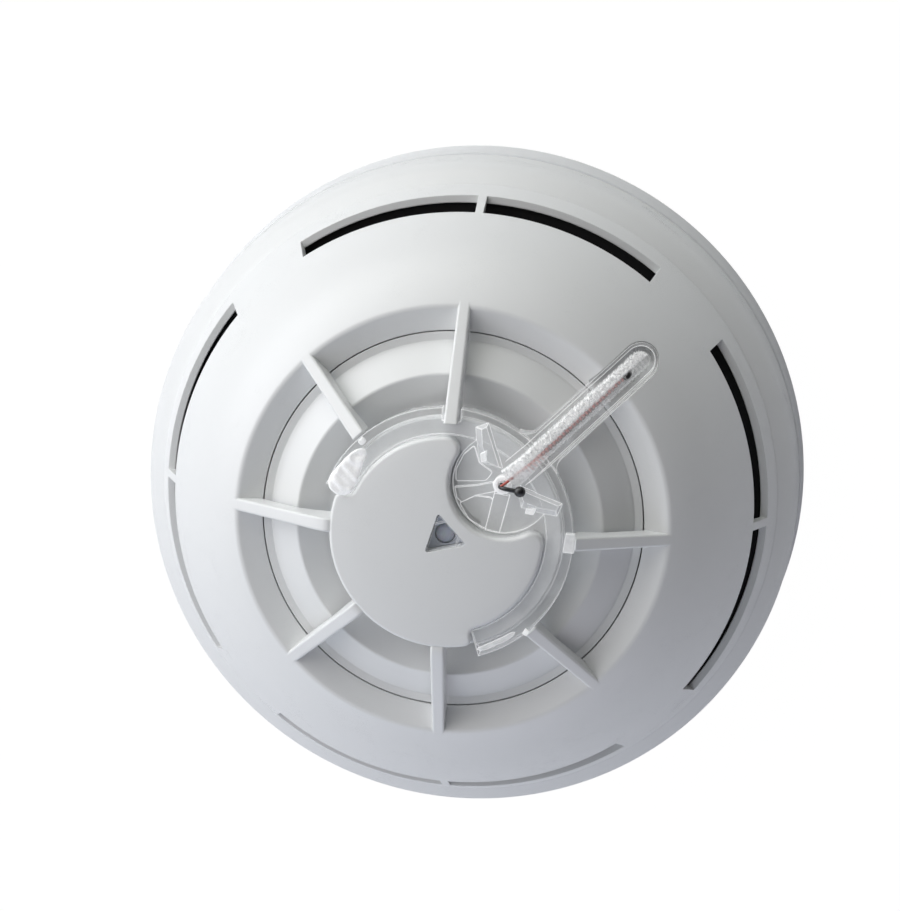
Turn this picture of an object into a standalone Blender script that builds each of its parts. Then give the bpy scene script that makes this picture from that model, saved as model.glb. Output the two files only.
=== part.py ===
"""Ceiling heat detector: a moulded base and a twist-off head.

Frame: origin at the centre of the mounting face, +Z from the ceiling plate
towards the sensing nose. +X runs along one cage rib. The clear arm lies near
45 degrees. Lengths below are in millimetres and are turned into metres when
each mesh is made. Angles are in degrees from +X, and every profile is a
closed list of (radius, z) points.
"""

import math

import bmesh
import bpy
from mathutils import Matrix, Vector

for old in list(bpy.data.objects):
    bpy.data.objects.remove(old, do_unlink=True)

MM = 0.001

# --------------------------------------------------------- shared dimensions
SEG = 48                 # steps round the base and the cover
SHARP_DEG = 32           # edges steeper than this are shaded sharp

BASE_TOP_Z = 8.0
SEAM = 0.35              # gap between base and head
HEAD_Z = BASE_TOP_Z + SEAM
TWIST_DEG = 20.0         # turn that frees the head from the base
BAYONET_DEG = (90, 210, 330)

TERMINAL_DEG = (45, 135, 225, 315)
TERMINAL_R = 30.5
PIN_R = 38.0             # pins of the head contacts
PIN_DEG = [deg + 10 for deg in TERMINAL_DEG]
COVER_SCREW_DEG = (30, 150, 270)
COVER_SCREW_R = 47.4
BOARD_SCREW_DEG = (0, 120, 240)
BOARD_SCREW_R = 34.0
POST_TOP = 13.7          # top of the board posts and contact pins
BOARD_Z = (14.0, 15.6)
PART_Z = BOARD_Z[1] + 0.3  # underside of the parts above the board

DOME_R = 35.0            # radius of the dome's curve
DOME_C = (14.77, 14.81)  # its centre, (radius, z)
CHANNEL_R = 34.1         # where the dome turns into the channel
CHANNEL_Z = 44.0
GAP_R = 29.75            # inner edge of the cover round the dish
GAP_TOP = 42.35
DISC_R = 17.6            # centre disc
DISC_EDGE = 54.2
RECESS_DEG = (-72.0, 161.5)  # ends of the recess that holds the guard

ARM_DEG = 45.6           # where the hub sits
ARM_AIM = 44.1           # which way the arm runs on from the hub
HUB_R = 12.0             # hub of the guard, distance from the centre
BAY_R = 8.1              # round bay about the hub
ARM_HALF = 2.85
ARM_END = 37.9           # centre of the arm's rounded end
ARM_DROP = 35.8          # where the lead turns down through the floor
TRI_R = 3.75             # size of the three-cornered window
TRI_DEG = (105, 225, 345)


# ---------------------------------------------------------- points and lines
def polar(radius, deg, z=0.0):
    angle = math.radians(deg)
    return Vector((radius * math.cos(angle), radius * math.sin(angle), z))


def leftward(deg):
    """Unit vector square to the radius at deg, on its left."""
    angle = math.radians(deg)
    return Vector((-math.sin(angle), math.cos(angle), 0))


HUB = polar(HUB_R, ARM_DEG)


def arm(along, left=0.0, z=0.0):
    """A point in the arm's own axes: outwards along the arm, and to its left."""
    return (HUB + polar(1, ARM_AIM) * (along - HUB_R) + leftward(ARM_AIM) * left
            + Vector((0, 0, z)))


def turned(deg, points):
    """Flat (x, y) points turned about the centre."""
    cos, sin = math.cos(math.radians(deg)), math.sin(math.radians(deg))
    return [(x * cos - y * sin, x * sin + y * cos) for x, y in points]


def smooth_path(points, per):
    """Catmull-Rom points through the given ones, per steps to each span."""
    knots = [Vector(point) for point in points]
    knots = [2 * knots[0] - knots[1]] + knots + [2 * knots[-1] - knots[-2]]
    path = []
    for i in range(1, len(knots) - 2):
        before, start, end, after = knots[i - 1:i + 3]
        for k in range(per):
            t = k / per
            path.append(0.5 * ((2 * start) + (end - before) * t
                               + (2 * before - 5 * start + 4 * end - after) * t * t
                               + (3 * start - before - 3 * end + after) * t ** 3))
    path.append(knots[-2])
    return path


def dome_z(radius):
    return DOME_C[1] + math.sqrt(DOME_R ** 2 - (radius - DOME_C[0]) ** 2)


def dome_arc(start_r, end_r, steps, offset=0.0):
    """Points on the dome's curve between two radii, spaced by angle."""
    curve_r = DOME_R + offset
    start = math.acos((start_r - DOME_C[0]) / curve_r)
    end = math.acos((end_r - DOME_C[0]) / curve_r)
    angles = [start + (end - start) * k / steps for k in range(steps + 1)]
    return [(DOME_C[0] + curve_r * math.cos(angle), DOME_C[1] + curve_r * math.sin(angle))
            for angle in angles]


def cage_z(radius):
    """Height of the cage line from the channel edge up to the disc."""
    return CHANNEL_Z + (CHANNEL_R - radius) * (DISC_EDGE - CHANNEL_Z) / (CHANNEL_R - DISC_R)


# -------------------------------------------------------------------- solids
def merge(solids):
    """One bmesh that holds several separate closed shapes."""
    merged = bmesh.new()
    for solid in solids:
        copies = {vert: merged.verts.new(vert.co) for vert in solid.verts}
        for face in solid.faces:
            merged.faces.new([copies[vert] for vert in face.verts])
        solid.free()
    return merged


def lathe(profile, seg=SEG, at=(0, 0)):
    """A profile spun round a vertical axis."""
    solid = bmesh.new()
    verts = [solid.verts.new((radius, 0, z)) for radius, z in profile]
    for start, end in zip(verts, verts[1:] + verts[:1]):
        if start.co.x > 0 or end.co.x > 0:
            solid.edges.new((start, end))
    bmesh.ops.spin(solid, geom=solid.verts[:] + solid.edges[:], cent=(0, 0, 0), axis=(0, 0, 1),
                   angle=2 * math.pi, steps=seg, use_merge=True)
    bmesh.ops.remove_doubles(solid, verts=solid.verts[:], dist=1e-4)
    bmesh.ops.recalc_face_normals(solid, faces=solid.faces[:])
    bmesh.ops.translate(solid, vec=(at[0], at[1], 0), verts=solid.verts[:])
    return solid


def loft(rings):
    """Closed solid through rings of the same number of points."""
    solid = bmesh.new()
    rows = [[solid.verts.new(point) for point in ring] for ring in rings]
    count = len(rows[0])
    for row, following in zip(rows, rows[1:]):
        for i in range(count):
            j = (i + 1) % count
            solid.faces.new((row[i], row[j], following[j], following[i]))
    solid.faces.new(rows[0][::-1])
    solid.faces.new(rows[-1])
    bmesh.ops.recalc_face_normals(solid, faces=solid.faces[:])
    return solid


def prism(points, low, high):
    return loft([[(x, y, z) for x, y in points] for z in (low, high)])


def rect(inner_r, outer_r, low, high):
    """A rectangular profile."""
    return [(inner_r, low), (outer_r, low), (outer_r, high), (inner_r, high)]


def sector(profile, start, end, steps):
    """A profile swept between two angles."""
    angles = [start + (end - start) * k / steps for k in range(steps + 1)]
    return loft([[polar(radius, deg, z) for radius, z in profile] for deg in angles])


def bayonet_lugs(profile, half_deg):
    return merge(sector(profile, deg - half_deg, deg + half_deg, 4) for deg in BAYONET_DEG)


def cylinder(radius, low, high, at=(0, 0), seg=12):
    angles = [2 * math.pi * k / seg for k in range(seg)]
    return prism([(at[0] + radius * math.cos(angle), at[1] + radius * math.sin(angle))
                  for angle in angles], low, high)


def cylinders(degs, ring_r, radius, low, high, seg=12):
    """Equal cylinders at the given angles, ring_r from the centre."""
    return merge(cylinder(radius, low, high, polar(ring_r, deg), seg) for deg in degs)


def box(x, y, x_size, y_size, low, high):
    """An upright box centred on (x, y)."""
    x_half, y_half = x_size / 2, y_size / 2
    return prism([(x - x_half, y - y_half), (x + x_half, y - y_half),
                  (x + x_half, y + y_half), (x - x_half, y + y_half)], low, high)


def block(deg, inner_r, outer_r, half, low, high):
    """A box along a radius, 2 * half wide."""
    corners = [(inner_r, -half), (outer_r, -half), (outer_r, half), (inner_r, half)]
    return prism(turned(deg, corners), low, high)


def blocks(degs, *sizes):
    return merge(block(deg, *sizes) for deg in degs)


def round_slot(deg, inner_r, outer_r, half, low, high):
    """A slot along a radius, round-ended about inner_r and outer_r."""
    steps = 8
    points = []
    for centre, turn in ((outer_r, -90), (inner_r, 90)):
        for k in range(steps + 1):
            angle = math.radians(turn + 180 * k / steps)
            points.append((centre + half * math.cos(angle), half * math.sin(angle)))
    return prism(turned(deg, points), low, high)


def bent_strip(line, thick, deg, half):
    """A strip of metal that follows (radius, z) points in the plane at deg."""
    points = [Vector(point) for point in line]
    upper, lower = [], []
    for i, point in enumerate(points):
        ahead = points[min(i + 1, len(points) - 1)] - point
        behind = point - points[max(i - 1, 0)]
        arrive = behind.normalized() if behind.length > 0 else ahead.normalized()
        leave = ahead.normalized() if ahead.length > 0 else arrive
        both = arrive + leave
        normal = Vector((-both.y, both.x)).normalized()
        reach = 0.5 * thick / max(0.5, normal.dot(Vector((-leave.y, leave.x))))
        upper.append(point + normal * reach)
        lower.append(point - normal * reach)
    outline = upper + lower[::-1]
    side = leftward(deg)
    return loft([[polar(point.x, deg, point.y) + side * width for point in outline]
                 for width in (-half, half)])


def tube(path, radius, seg=10):
    """A round bar along 3-D points, with flat ends."""
    points = [Vector(point) for point in path]
    angles = [2 * math.pi * k / seg for k in range(seg)]
    rings = []
    across = None
    for i, point in enumerate(points):
        heading = (points[min(i + 1, len(points) - 1)] - points[max(i - 1, 0)]).normalized()
        if across is None:
            across = heading.orthogonal().normalized()
        across = (across - heading * across.dot(heading)).normalized()
        other = heading.cross(across)
        rings.append([point + radius * (math.cos(angle) * across + math.sin(angle) * other)
                      for angle in angles])
    return loft(rings)


def triangle(size, corner):
    """The window's outline: an equilateral triangle with rounded corners."""
    points = []
    for deg in TRI_DEG:
        centre = polar(size - 2 * corner, deg)
        for turn in (-60, -20, 20, 60):
            point = centre + polar(corner, deg + turn)
            points.append((point.x, point.y))
    return points


# ------------------------------------------------------------------- objects
def to_mesh(solid, name):
    bmesh.ops.remove_doubles(solid, verts=solid.verts[:], dist=1e-4)
    bmesh.ops.dissolve_degenerate(solid, dist=1e-5, edges=solid.edges[:])
    bmesh.ops.recalc_face_normals(solid, faces=solid.faces[:])
    if solid.calc_volume(signed=True) < 0:
        bmesh.ops.reverse_faces(solid, faces=solid.faces[:])
    bmesh.ops.scale(solid, vec=(MM, MM, MM), verts=solid.verts[:])
    mesh = bpy.data.meshes.new(name)
    solid.to_mesh(mesh)
    solid.free()
    return mesh


def part(name, solid, mat, location=(0, 0, 0)):
    mesh = to_mesh(solid, name)
    mesh.shade_smooth()
    mesh.set_sharp_from_angle(angle=math.radians(SHARP_DEG))
    mesh.materials.append(mat)
    obj = bpy.data.objects.new(name, mesh)
    obj.location = Vector(location) * MM
    bpy.context.scene.collection.objects.link(obj)
    return obj


def boolean(obj, solid, operation):
    """Applies solid to obj through a hidden helper and a Boolean modifier."""
    name = f"{obj.name}_{operation.lower()}_{len(obj.modifiers)}"
    helper = bpy.data.objects.new(name, to_mesh(solid, name))
    helper.hide_render = True
    helper.display_type = "WIRE"
    helper.location = obj.location
    bpy.context.scene.collection.objects.link(helper)
    mod = obj.modifiers.new(name, "BOOLEAN")
    mod.operation = operation
    mod.solver = "EXACT"
    mod.object = helper
    return helper


def join(obj, solid):
    return boolean(obj, solid, "UNION")


def cut(obj, solid):
    return boolean(obj, solid, "DIFFERENCE")


# ----------------------------------------------------------------- materials
def make_material(name, rgb, rough, metal=0.0, alpha=1.0, transmission=0.0):
    mat = bpy.data.materials.new(name)
    mat.use_nodes = True
    inputs = mat.node_tree.nodes["Principled BSDF"].inputs
    inputs["Base Color"].default_value = (*rgb, 1.0)
    inputs["Roughness"].default_value = rough
    inputs["Metallic"].default_value = metal
    inputs["Transmission Weight"].default_value = transmission
    inputs["Alpha"].default_value = alpha
    mat.diffuse_color = (*rgb, alpha)
    return mat


white = make_material("white_abs", rgb=(0.83, 0.84, 0.84), rough=0.32)
dish_white = make_material("dish_abs", rgb=(0.80, 0.81, 0.81), rough=0.38)
base_white = make_material("base_abs", rgb=(0.80, 0.81, 0.82), rough=0.4)
clear = make_material("clear_pc", rgb=(0.95, 0.96, 0.97), rough=0.05, alpha=0.35,
                      transmission=1.0)
lamp = make_material("lamp_epoxy", rgb=(0.70, 0.72, 0.80), rough=0.12, transmission=0.5)
black = make_material("black_abs", rgb=(0.02, 0.02, 0.022), rough=0.5)
bead_black = make_material("bead_epoxy", rgb=(0.015, 0.015, 0.017), rough=0.25)
red = make_material("red_sleeving", rgb=(0.45, 0.05, 0.04), rough=0.45)
board_green = make_material("board_green", rgb=(0.02, 0.16, 0.07), rough=0.4)
chip = make_material("component_black", rgb=(0.03, 0.03, 0.03), rough=0.4)
can = make_material("capacitor_can", rgb=(0.62, 0.63, 0.65), rough=0.3, metal=0.9)
natural = make_material("header_nylon", rgb=(0.78, 0.76, 0.70), rough=0.45)
spring = make_material("contact_steel", rgb=(0.72, 0.72, 0.70), rough=0.25, metal=1.0)
zinc = make_material("zinc_steel", rgb=(0.66, 0.67, 0.69), rough=0.3, metal=1.0)
tin = make_material("tinned_leg", rgb=(0.75, 0.75, 0.76), rough=0.25, metal=1.0)

# ------------------------------------------------------------------ the base
BASE_BORE_R = 11.0
BASE_RIM_R = 54.8        # widest point of the base
BASE_FLOOR_Z = 2.2
BASE_WALL_R = 52.4       # inside of the outer wall
BASE_PROFILE = [
    (BASE_BORE_R, 0.0), (54.3, 0.0), (BASE_RIM_R, 0.7), (BASE_RIM_R, 1.5), (54.45, 3.2),
    (54.25, 5.2), (54.15, BASE_TOP_Z), (BASE_WALL_R, BASE_TOP_Z), (BASE_WALL_R, BASE_FLOOR_Z),
    (BASE_BORE_R, BASE_FLOOR_Z)]

base = part("mounting_base", lathe(BASE_PROFILE), base_white)
# collar, its inward bayonet lugs, and a pad under each terminal
join(base, lathe(rect(47.2, 48.8, 1.6, 7.6), 40))
join(base, bayonet_lugs(rect(44.2, 47.6, 5.8, 7.2), TWIST_DEG / 2))
join(base, blocks(TERMINAL_DEG, 25.6, 35.2, 4.6, 1.6, 3.0))
# screw clearances, then two round-ended slots through the floor
cut(base, cylinders(TERMINAL_DEG, TERMINAL_R, 2.0, 0.6, 4.0))
cut(base, merge(round_slot(deg, 24.0, 34.0, 2.3, -1.0, 3.0) for deg in (0, 180)))

# ---------------------------------------------- contact leaves and terminals
LEAF_THICK = 0.4
LEAF_HALF = 2.6
LEAF_LINE = [            # middle of the leaf, (radius, z)
    (26.2, 3.5), (34.6, 3.5), (36.6, 7.0), (37.6, 7.18), (38.6, 7.0), (39.4, 6.2)]
CLAMP_HALF = 3.8         # the clamp plates are square
CLAMP_Z = (4.0, 4.8)
TERMINAL_SCREW_Z = 5.1   # underside of the head
TERMINAL_SCREW = [       # z from the underside of the head
    (0.0, -4.1), (1.2, -4.1), (1.6, -3.6), (1.6, 0.0), (3.0, 0.0), (3.0, 0.9), (2.5, 1.6),
    (0.0, 1.6)]

for i, deg in enumerate(TERMINAL_DEG, 1):
    centre = polar(TERMINAL_R, deg)
    leaf = part(f"contact_leaf_{i}", bent_strip(LEAF_LINE, LEAF_THICK, deg, LEAF_HALF), spring)
    cut(leaf, cylinder(2.0, 2.5, 4.5, centre))
    clamp = part(f"clamp_plate_{i}", block(deg, TERMINAL_R - CLAMP_HALF, TERMINAL_R + CLAMP_HALF,
                                           CLAMP_HALF, *CLAMP_Z), zinc)
    cut(clamp, cylinder(1.95, 3.0, 6.0, centre))
    screw = part(f"terminal_screw_{i}", lathe(TERMINAL_SCREW, 12), zinc,
                 polar(TERMINAL_R, deg, TERMINAL_SCREW_Z))
    cut(screw, block(deg + 25, -4.0, 4.0, 0.4, 0.7, 3.0))

# --------------------------------------------------------------- the chassis
CHASSIS_Z = (8.4, 10.2)
CHASSIS_R = 51.4
CHASSIS_SKIRT = (42.0, 43.7)  # radii of the ring that hangs into the base
CHASSIS_SKIRT_Z = 4.0
CHASSIS_PROFILE = [
    (0.0, CHASSIS_Z[0]), (CHASSIS_SKIRT[0], CHASSIS_Z[0]), (CHASSIS_SKIRT[0], CHASSIS_SKIRT_Z),
    (CHASSIS_SKIRT[1], CHASSIS_SKIRT_Z), (CHASSIS_SKIRT[1], CHASSIS_Z[0]),
    (CHASSIS_R, CHASSIS_Z[0]), (CHASSIS_R, CHASSIS_Z[1]), (0.0, CHASSIS_Z[1])]
LUG_EASE_DEG = 2         # the head's lugs stop this short at each end

chassis = part("rear_chassis", lathe(CHASSIS_PROFILE, 40), base_white)
join(chassis, bayonet_lugs(rect(43.0, 46.8, 4.1, 5.4), TWIST_DEG / 2 - LUG_EASE_DEG))
# posts for the cover screws and for the board
join(chassis, cylinders(COVER_SCREW_DEG, COVER_SCREW_R, 3.3, 9.0, 12.5))
join(chassis, cylinders(BOARD_SCREW_DEG, BOARD_SCREW_R, 2.6, 9.0, POST_TOP))
# counterbores and bores for the cover screws, board screw holes, pin holes
cut(chassis, cylinders(COVER_SCREW_DEG, COVER_SCREW_R, 2.5, 7.0, 10.4))
cut(chassis, cylinders(COVER_SCREW_DEG, COVER_SCREW_R, 1.6, 9.9, 14.0))
cut(chassis, cylinders(BOARD_SCREW_DEG, BOARD_SCREW_R, 1.35, 9.3, 15.0, 10))
cut(chassis, cylinders(PIN_DEG, PIN_R, 1.35, 7.0, 12.0, 10))

# ------------------------------------------- head contacts, blades with pins
BLADE_PROFILE = rect(36.2, 39.8, 7.7, 8.1)

for i, (deg, pin_deg) in enumerate(zip(TERMINAL_DEG, PIN_DEG), 1):
    blade = part(f"head_contact_{i}", sector(BLADE_PROFILE, deg - 5, deg + 13.5, 6), spring)
    join(blade, cylinder(1.0, 7.9, POST_TOP, polar(PIN_R, pin_deg), 10))

# ------------------------------------------------- screws of cover and board
COVER_SCREW_Z = 8.7
COVER_SCREW = [          # z from the top of the head, before it is turned over
    (0.0, 0.0), (1.8, 0.0), (2.15, -0.3), (2.15, -1.3), (1.0, -1.3), (1.0, -9.2), (0.0, -9.2)]
BOARD_SCREW = [          # z from the underside of the head
    (0.0, -6.0), (1.0, -6.0), (1.0, 0.0), (2.2, 0.0), (2.2, 0.8), (1.8, 1.4), (0.0, 1.4)]

for i, deg in enumerate(COVER_SCREW_DEG, 1):
    screw = part(f"cover_screw_{i}", lathe(COVER_SCREW, 10), zinc,
                 polar(COVER_SCREW_R, deg, COVER_SCREW_Z))
    screw.rotation_euler = (math.pi, 0, 0)
    helper = cut(screw, block(20, -3, 3, 0.28, -0.6, 1.0))
    helper.rotation_euler = screw.rotation_euler

for i, deg in enumerate(BOARD_SCREW_DEG, 1):
    screw = part(f"board_screw_{i}", lathe(BOARD_SCREW, 10), zinc,
                 polar(BOARD_SCREW_R, deg, PART_Z))
    cut(screw, block(35, -3, 3, 0.3, 0.8, 3.0))

# --------------------------------------------------- the board and its parts
BOARD_R = 40.0
CAPACITOR_AT = (-20.0, 11.0)
CAPACITOR_R = 3.2
CAPACITOR_PROFILE = [
    (0.0, PART_Z), (3.0, PART_Z), (CAPACITOR_R, 16.2), (CAPACITOR_R, 16.9), (3.0, 17.1),
    (CAPACITOR_R, 17.3), (CAPACITOR_R, 25.2), (2.9, 25.5), (0.0, 25.5)]
CHIPS = (                # name, x, y, x size, y size, top
    ("microcontroller", -9.0, -13.0, 9.0, 9.0, 17.4),
    ("rectifier", 17.0, -19.0, 8.0, 6.0, 18.4),
    ("surge_diode", -2.0, -27.0, 7.0, 4.6, 18.2))

board = part("circuit_board", lathe([
    (0.0, BOARD_Z[0]), (BOARD_R, BOARD_Z[0]), (BOARD_R, BOARD_Z[1]), (0.0, BOARD_Z[1])], 40),
    board_green)
cut(board, cylinders(BOARD_SCREW_DEG, BOARD_SCREW_R, 1.5, 13.0, 17.0, 10))
for name, x, y, x_size, y_size, top in CHIPS:
    part(name, box(x, y, x_size, y_size, PART_Z, top), chip)
part("capacitor", lathe(CAPACITOR_PROFILE, 12, CAPACITOR_AT), can)
part("lead_header", box(HUB.x, HUB.y, 6.0, 6.0, PART_Z, 18.6), natural)

# ---------------------------------------------------------- the black liner
LINER_PROFILE = [
    (42.4, 10.6), (43.6, 10.6), (43.6, 28.8), (42.6, 31.0), (37.4, 35.0), (26.5, 36.2),
    (26.5, 35.0), (36.9, 33.8), (41.6, 30.2), (42.4, 28.5)]

liner = part("chamber_liner", lathe(LINER_PROFILE, 32), black)
cut(liner, cylinder(1.0, 30.0, 40.0, arm(ARM_DROP), 10))

# ----------------------------------------------------------- the outer cover
SKIRT_R = 53.9           # cover skirt at the seam
SHOULDER = (53.45, 16.4)
CREASE_R = 50.15         # fine crease between skirt and dome
SLOT_LOW = (48.7, 24.8)  # lower outer edge of the air slots
SLOT_HIGH = (46.5, 29.6)  # upper edge of the air slots
SLOT_HALF_DEG = 36.2     # each pair of slots spans twice this
BRIDGE_HALF_DEG = 0.8    # bridge that splits a pair
DOME_WALL = 1.5
RECESS_Z = 51.8          # floor of the recess that holds the guard
RECESS_R = 15.05

COVER_OUTSIDE = [
    (SKIRT_R, HEAD_Z), (53.75, 12.4), SHOULDER, (53.1, 17.8), (52.3, 19.1), (51.3, 20.2),
    (50.55, 20.9), (CREASE_R, 21.1), (CREASE_R, 21.4), SLOT_LOW,
    *dome_arc(SLOT_HIGH[0], CHANNEL_R, 6),
    (33.4, 44.15), (32.6, 43.8), (GAP_R, GAP_TOP)]
COVER_INSIDE = [
    (GAP_R, 40.75), (33.0, 42.35),
    *dome_arc(33.7, 45.1, 4, -DOME_WALL),
    (47.3, 24.6), (48.8, 21.2), (50.2, 19.1), (51.4, 17.2), (51.9, 15.4), (51.95, HEAD_Z)]
DISC_PROFILE = [
    (0.0, 55.0), (9.0, 54.85), (14.5, 54.52), (17.1, DISC_EDGE), (DISC_R, 53.75),
    (DISC_R, 48.4), (16.2, 48.4), (16.2, 50.0), (0.0, 50.4)]

RIB_HALF = 1.1
RIB_BEVEL = 0.45         # drop of the bevel along each upper edge
RIB_DEG = (0, 90, 135, 180, 225, 270, 315)
RIB_STATIONS = [         # radius, top, bottom: from the dome's wall to the disc's edge
    (34.9, dome_z(34.9) - 0.1, 42.4), (33.4, cage_z(33.4), 42.6), (31.2, cage_z(31.2), 42.1),
    (30.2, cage_z(30.2), 42.9), (29.0, cage_z(29.0), 43.8), (23.5, cage_z(23.5), 47.6),
    (20.4, cage_z(20.4), 48.35), (17.2, cage_z(17.2) - 0.1, 48.6)]


def rib(deg):
    """One cage rib."""
    side = leftward(deg)
    rings = []
    for radius, top, bottom in RIB_STATIONS:
        bevel = top - RIB_BEVEL
        section = [(-RIB_HALF, bottom), (RIB_HALF, bottom), (RIB_HALF, bevel),
                   (RIB_HALF * 0.5, top), (-RIB_HALF * 0.5, top), (-RIB_HALF, bevel)]
        rings.append([polar(radius, deg, z) + side * width for width, z in section])
    return loft(rings)


cover = part("outer_cover", lathe(COVER_OUTSIDE + COVER_INSIDE), white)
join(cover, lathe(DISC_PROFILE, 44))
join(cover, merge(rib(deg) for deg in RIB_DEG))
# screw posts, each tied to the skirt by a web, and their bores
join(cover, cylinders(COVER_SCREW_DEG, COVER_SCREW_R, 2.4, 12.8, 21.0, 16))
join(cover, blocks(COVER_SCREW_DEG, 48.6, 52.7, 1.0, 12.9, 16.9))
cut(cover, cylinders(COVER_SCREW_DEG, COVER_SCREW_R, 1.3, 12.0, 19.0, 10))
# air slots
cut(cover, merge(
    sector(rect(43.9, 53.0, SLOT_LOW[1], SLOT_HIGH[1]), deg + start, deg + end, 4)
    for deg in (0, 90, 180, 270)
    for start, end in ((-SLOT_HALF_DEG, -BRIDGE_HALF_DEG), (BRIDGE_HALF_DEG, SLOT_HALF_DEG))))
# recess for the guard, bay about the hub, two notches at the disc's edge
cut(cover, sector(rect(RECESS_R, 18.0, RECESS_Z, 60.0), *RECESS_DEG, 26))
cut(cover, cylinder(BAY_R, RECESS_Z - 0.05, 61.0, HUB, 28))
cut(cover, blocks((0, -45), 17.3, 19.9, 2.0, 50.3, 62.0))
# window, and the hole under the hub
cut(cover, prism(triangle(TRI_R, 0.35), 49.0, 62.0))
cut(cover, cylinder(1.5, 49.0, 63.0, HUB, 18))

# --------------------------------------------------------- lines of the arm
ARM_STATIONS = (18.0, 18.3, 22.0, 26.0, 30.0, 33.0, 34.6, 37.0, ARM_END)
ARM_TIP_DEG = (25, 45, 62, 76)  # stations round the outer end
GUARD_TOP = 53.4
FLOOR_ROOT = 52.9        # trough floor at the hub
FLOOR_DEPTH = 2.1        # trough floor below the rim further out
FLOOR_SLOPE = (17.0, 20.5)  # where the floor runs from one to the other


def arm_top(along):
    """Height of the arm's rim: along the cage line, then along the dome."""
    if along >= CHANNEL_R:
        return dome_z(along) + 0.1
    return min(cage_z(along) - 0.1, GUARD_TOP)


def rim(shift):
    """The rim's line, raised by shift."""
    return lambda along: arm_top(along) + shift


def arm_under(along):
    """Underside of the trough, lifted clear of the disc's rim at its root."""
    return 52.2 if along < 18.2 else arm_top(along) - 2.9


def arm_floor(along):
    """Top of the trough's floor."""
    start, end = FLOOR_SLOPE
    if along <= start:
        return FLOOR_ROOT
    if along >= end:
        return arm_top(along) - FLOOR_DEPTH
    t = (along - start) / (end - start)
    return FLOOR_ROOT * (1 - t) + (arm_top(end) - FLOOR_DEPTH) * t


def shelf_top(along):
    """Height of the closed pocket's block, kept under the cover's skin."""
    if along >= CHANNEL_R:
        return dome_z(along) - 0.7
    return GAP_TOP + (along - GAP_R) * 0.48 - 0.7


def arm_beam(half, start, top, bottom):
    """A bar along the arm with a round outer end, cut square at start.

    top and bottom give the height at a distance along the arm.
    """
    stations = [start] + [along for along in ARM_STATIONS if along >= start]
    stations += [ARM_END + half * math.sin(math.radians(deg)) for deg in ARM_TIP_DEG]
    rings = []
    for along in stations:
        width = half if along <= ARM_END else math.sqrt(half ** 2 - (along - ARM_END) ** 2)
        low, high = bottom(along), top(along)
        rings.append([arm(along, -width, low), arm(along, width, low),
                      arm(along, width, high), arm(along, -width, high)])
    return loft(rings)


# a closed pocket in the dome for the arm's outer end, and the lead's hole
join(cover, arm_beam(ARM_HALF + 1.45, 30.8, top=shelf_top, bottom=rim(-4.4)))
cut(cover, arm_beam(ARM_HALF + 0.35, 29.0, top=rim(8.0), bottom=rim(-3.2)))
cut(cover, cylinder(0.8, 30.0, 46.0, arm(ARM_DROP), 10))

# ------------------------------------------------------------ the inner dish
DISH_PROFILE = [
    (29.3, 36.5), (29.3, 42.1), (29.1, 42.3), (28.3, 42.35), (28.1, 42.75), (23.75, 46.7),
    (23.5, 46.8), (23.2, 46.75), (19.0, 45.2), (12.0, 44.6), (2.0, 44.5), (2.0, 43.3),
    (12.0, 43.4), (18.6, 44.0), (23.2, 45.4), (27.6, 41.4), (28.0, 40.4), (28.0, 36.5)]

dish = part("inner_dish", lathe(DISH_PROFILE, 40), dish_white)
cut(dish, cylinder(1.0, 42.0, 46.0, HUB, 10))

# ----------------------------------------------------------- the clear guard
GUARD_EASE_DEG = 0.9     # gap at each end of the recess
GUARD_PROFILE = [
    (15.35, 52.1), (15.35, 53.1), (15.65, GUARD_TOP), (19.1, GUARD_TOP), (19.5, 53.0),
    (19.5, 50.6), (17.95, 50.6), (17.95, 52.1)]
VANE_Z = (52.5, 53.4)    # foot of a vane, and where its sides start to lean in
VANES = (                # ridge height, then outline as (along, left) of the arm
    (54.6, [(13.1, 1.7), (12.4, 3.2), (14.2, 8.6), (15.6, 9.3), (16.6, 8.7), (15.0, 2.6)]),
    (54.2, [(11.0, -1.2), (9.9, -0.2), (5.7, -4.1), (6.9, -5.3)]))


def vane(outline, ridge):
    """A clear vane: a flat outline that rises to a ridge along its middle."""
    points = [Vector((along, left, 0)) for along, left in outline]
    mid = sum(points, Vector()) / len(points)
    rings = [[arm(point.x, point.y, z) for point in points] for z in VANE_Z]
    rings.append([arm(mid.x + (point.x - mid.x) * 0.45, mid.y + (point.y - mid.y) * 0.75, ridge)
                  for point in points])
    return loft(rings)


guard = part("sensor_guard", sector(
    GUARD_PROFILE, RECESS_DEG[0] + GUARD_EASE_DEG, RECESS_DEG[1] - GUARD_EASE_DEG, 26), clear)
join(guard, cylinder(BAY_R - 0.4, 52.15, FLOOR_ROOT, HUB, 28))
join(guard, arm_beam(ARM_HALF, 16.4, top=arm_top, bottom=arm_under))
# a mirrored pair of each vane
for ridge, outline in VANES:
    mirrored = [(along, -left) for along, left in outline]
    join(guard, merge([vane(outline, ridge), vane(mirrored, ridge)]))
# trough along the arm
cut(guard, arm_beam(ARM_HALF - 0.6, 13.9, top=rim(8.0), bottom=arm_floor))
# hub collar, its bore, and a slit on its outward side
join(guard, cylinder(1.5, 52.3, 54.6, HUB, 20))
cut(guard, cylinder(1.0, 50.0, 60.0, HUB, 20))
cut(guard, block(ARM_DEG, HUB_R + 0.2, HUB_R + 2.6, 0.55, 53.45, 61.0))
# notches in line with two ribs, and the lead's hole
cut(guard, blocks((90, 135), 17.5, 21.0, 1.4, 49.0, 62.0))
cut(guard, cylinder(0.75, 30.0, 50.0, arm(ARM_DROP), 10))

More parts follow.
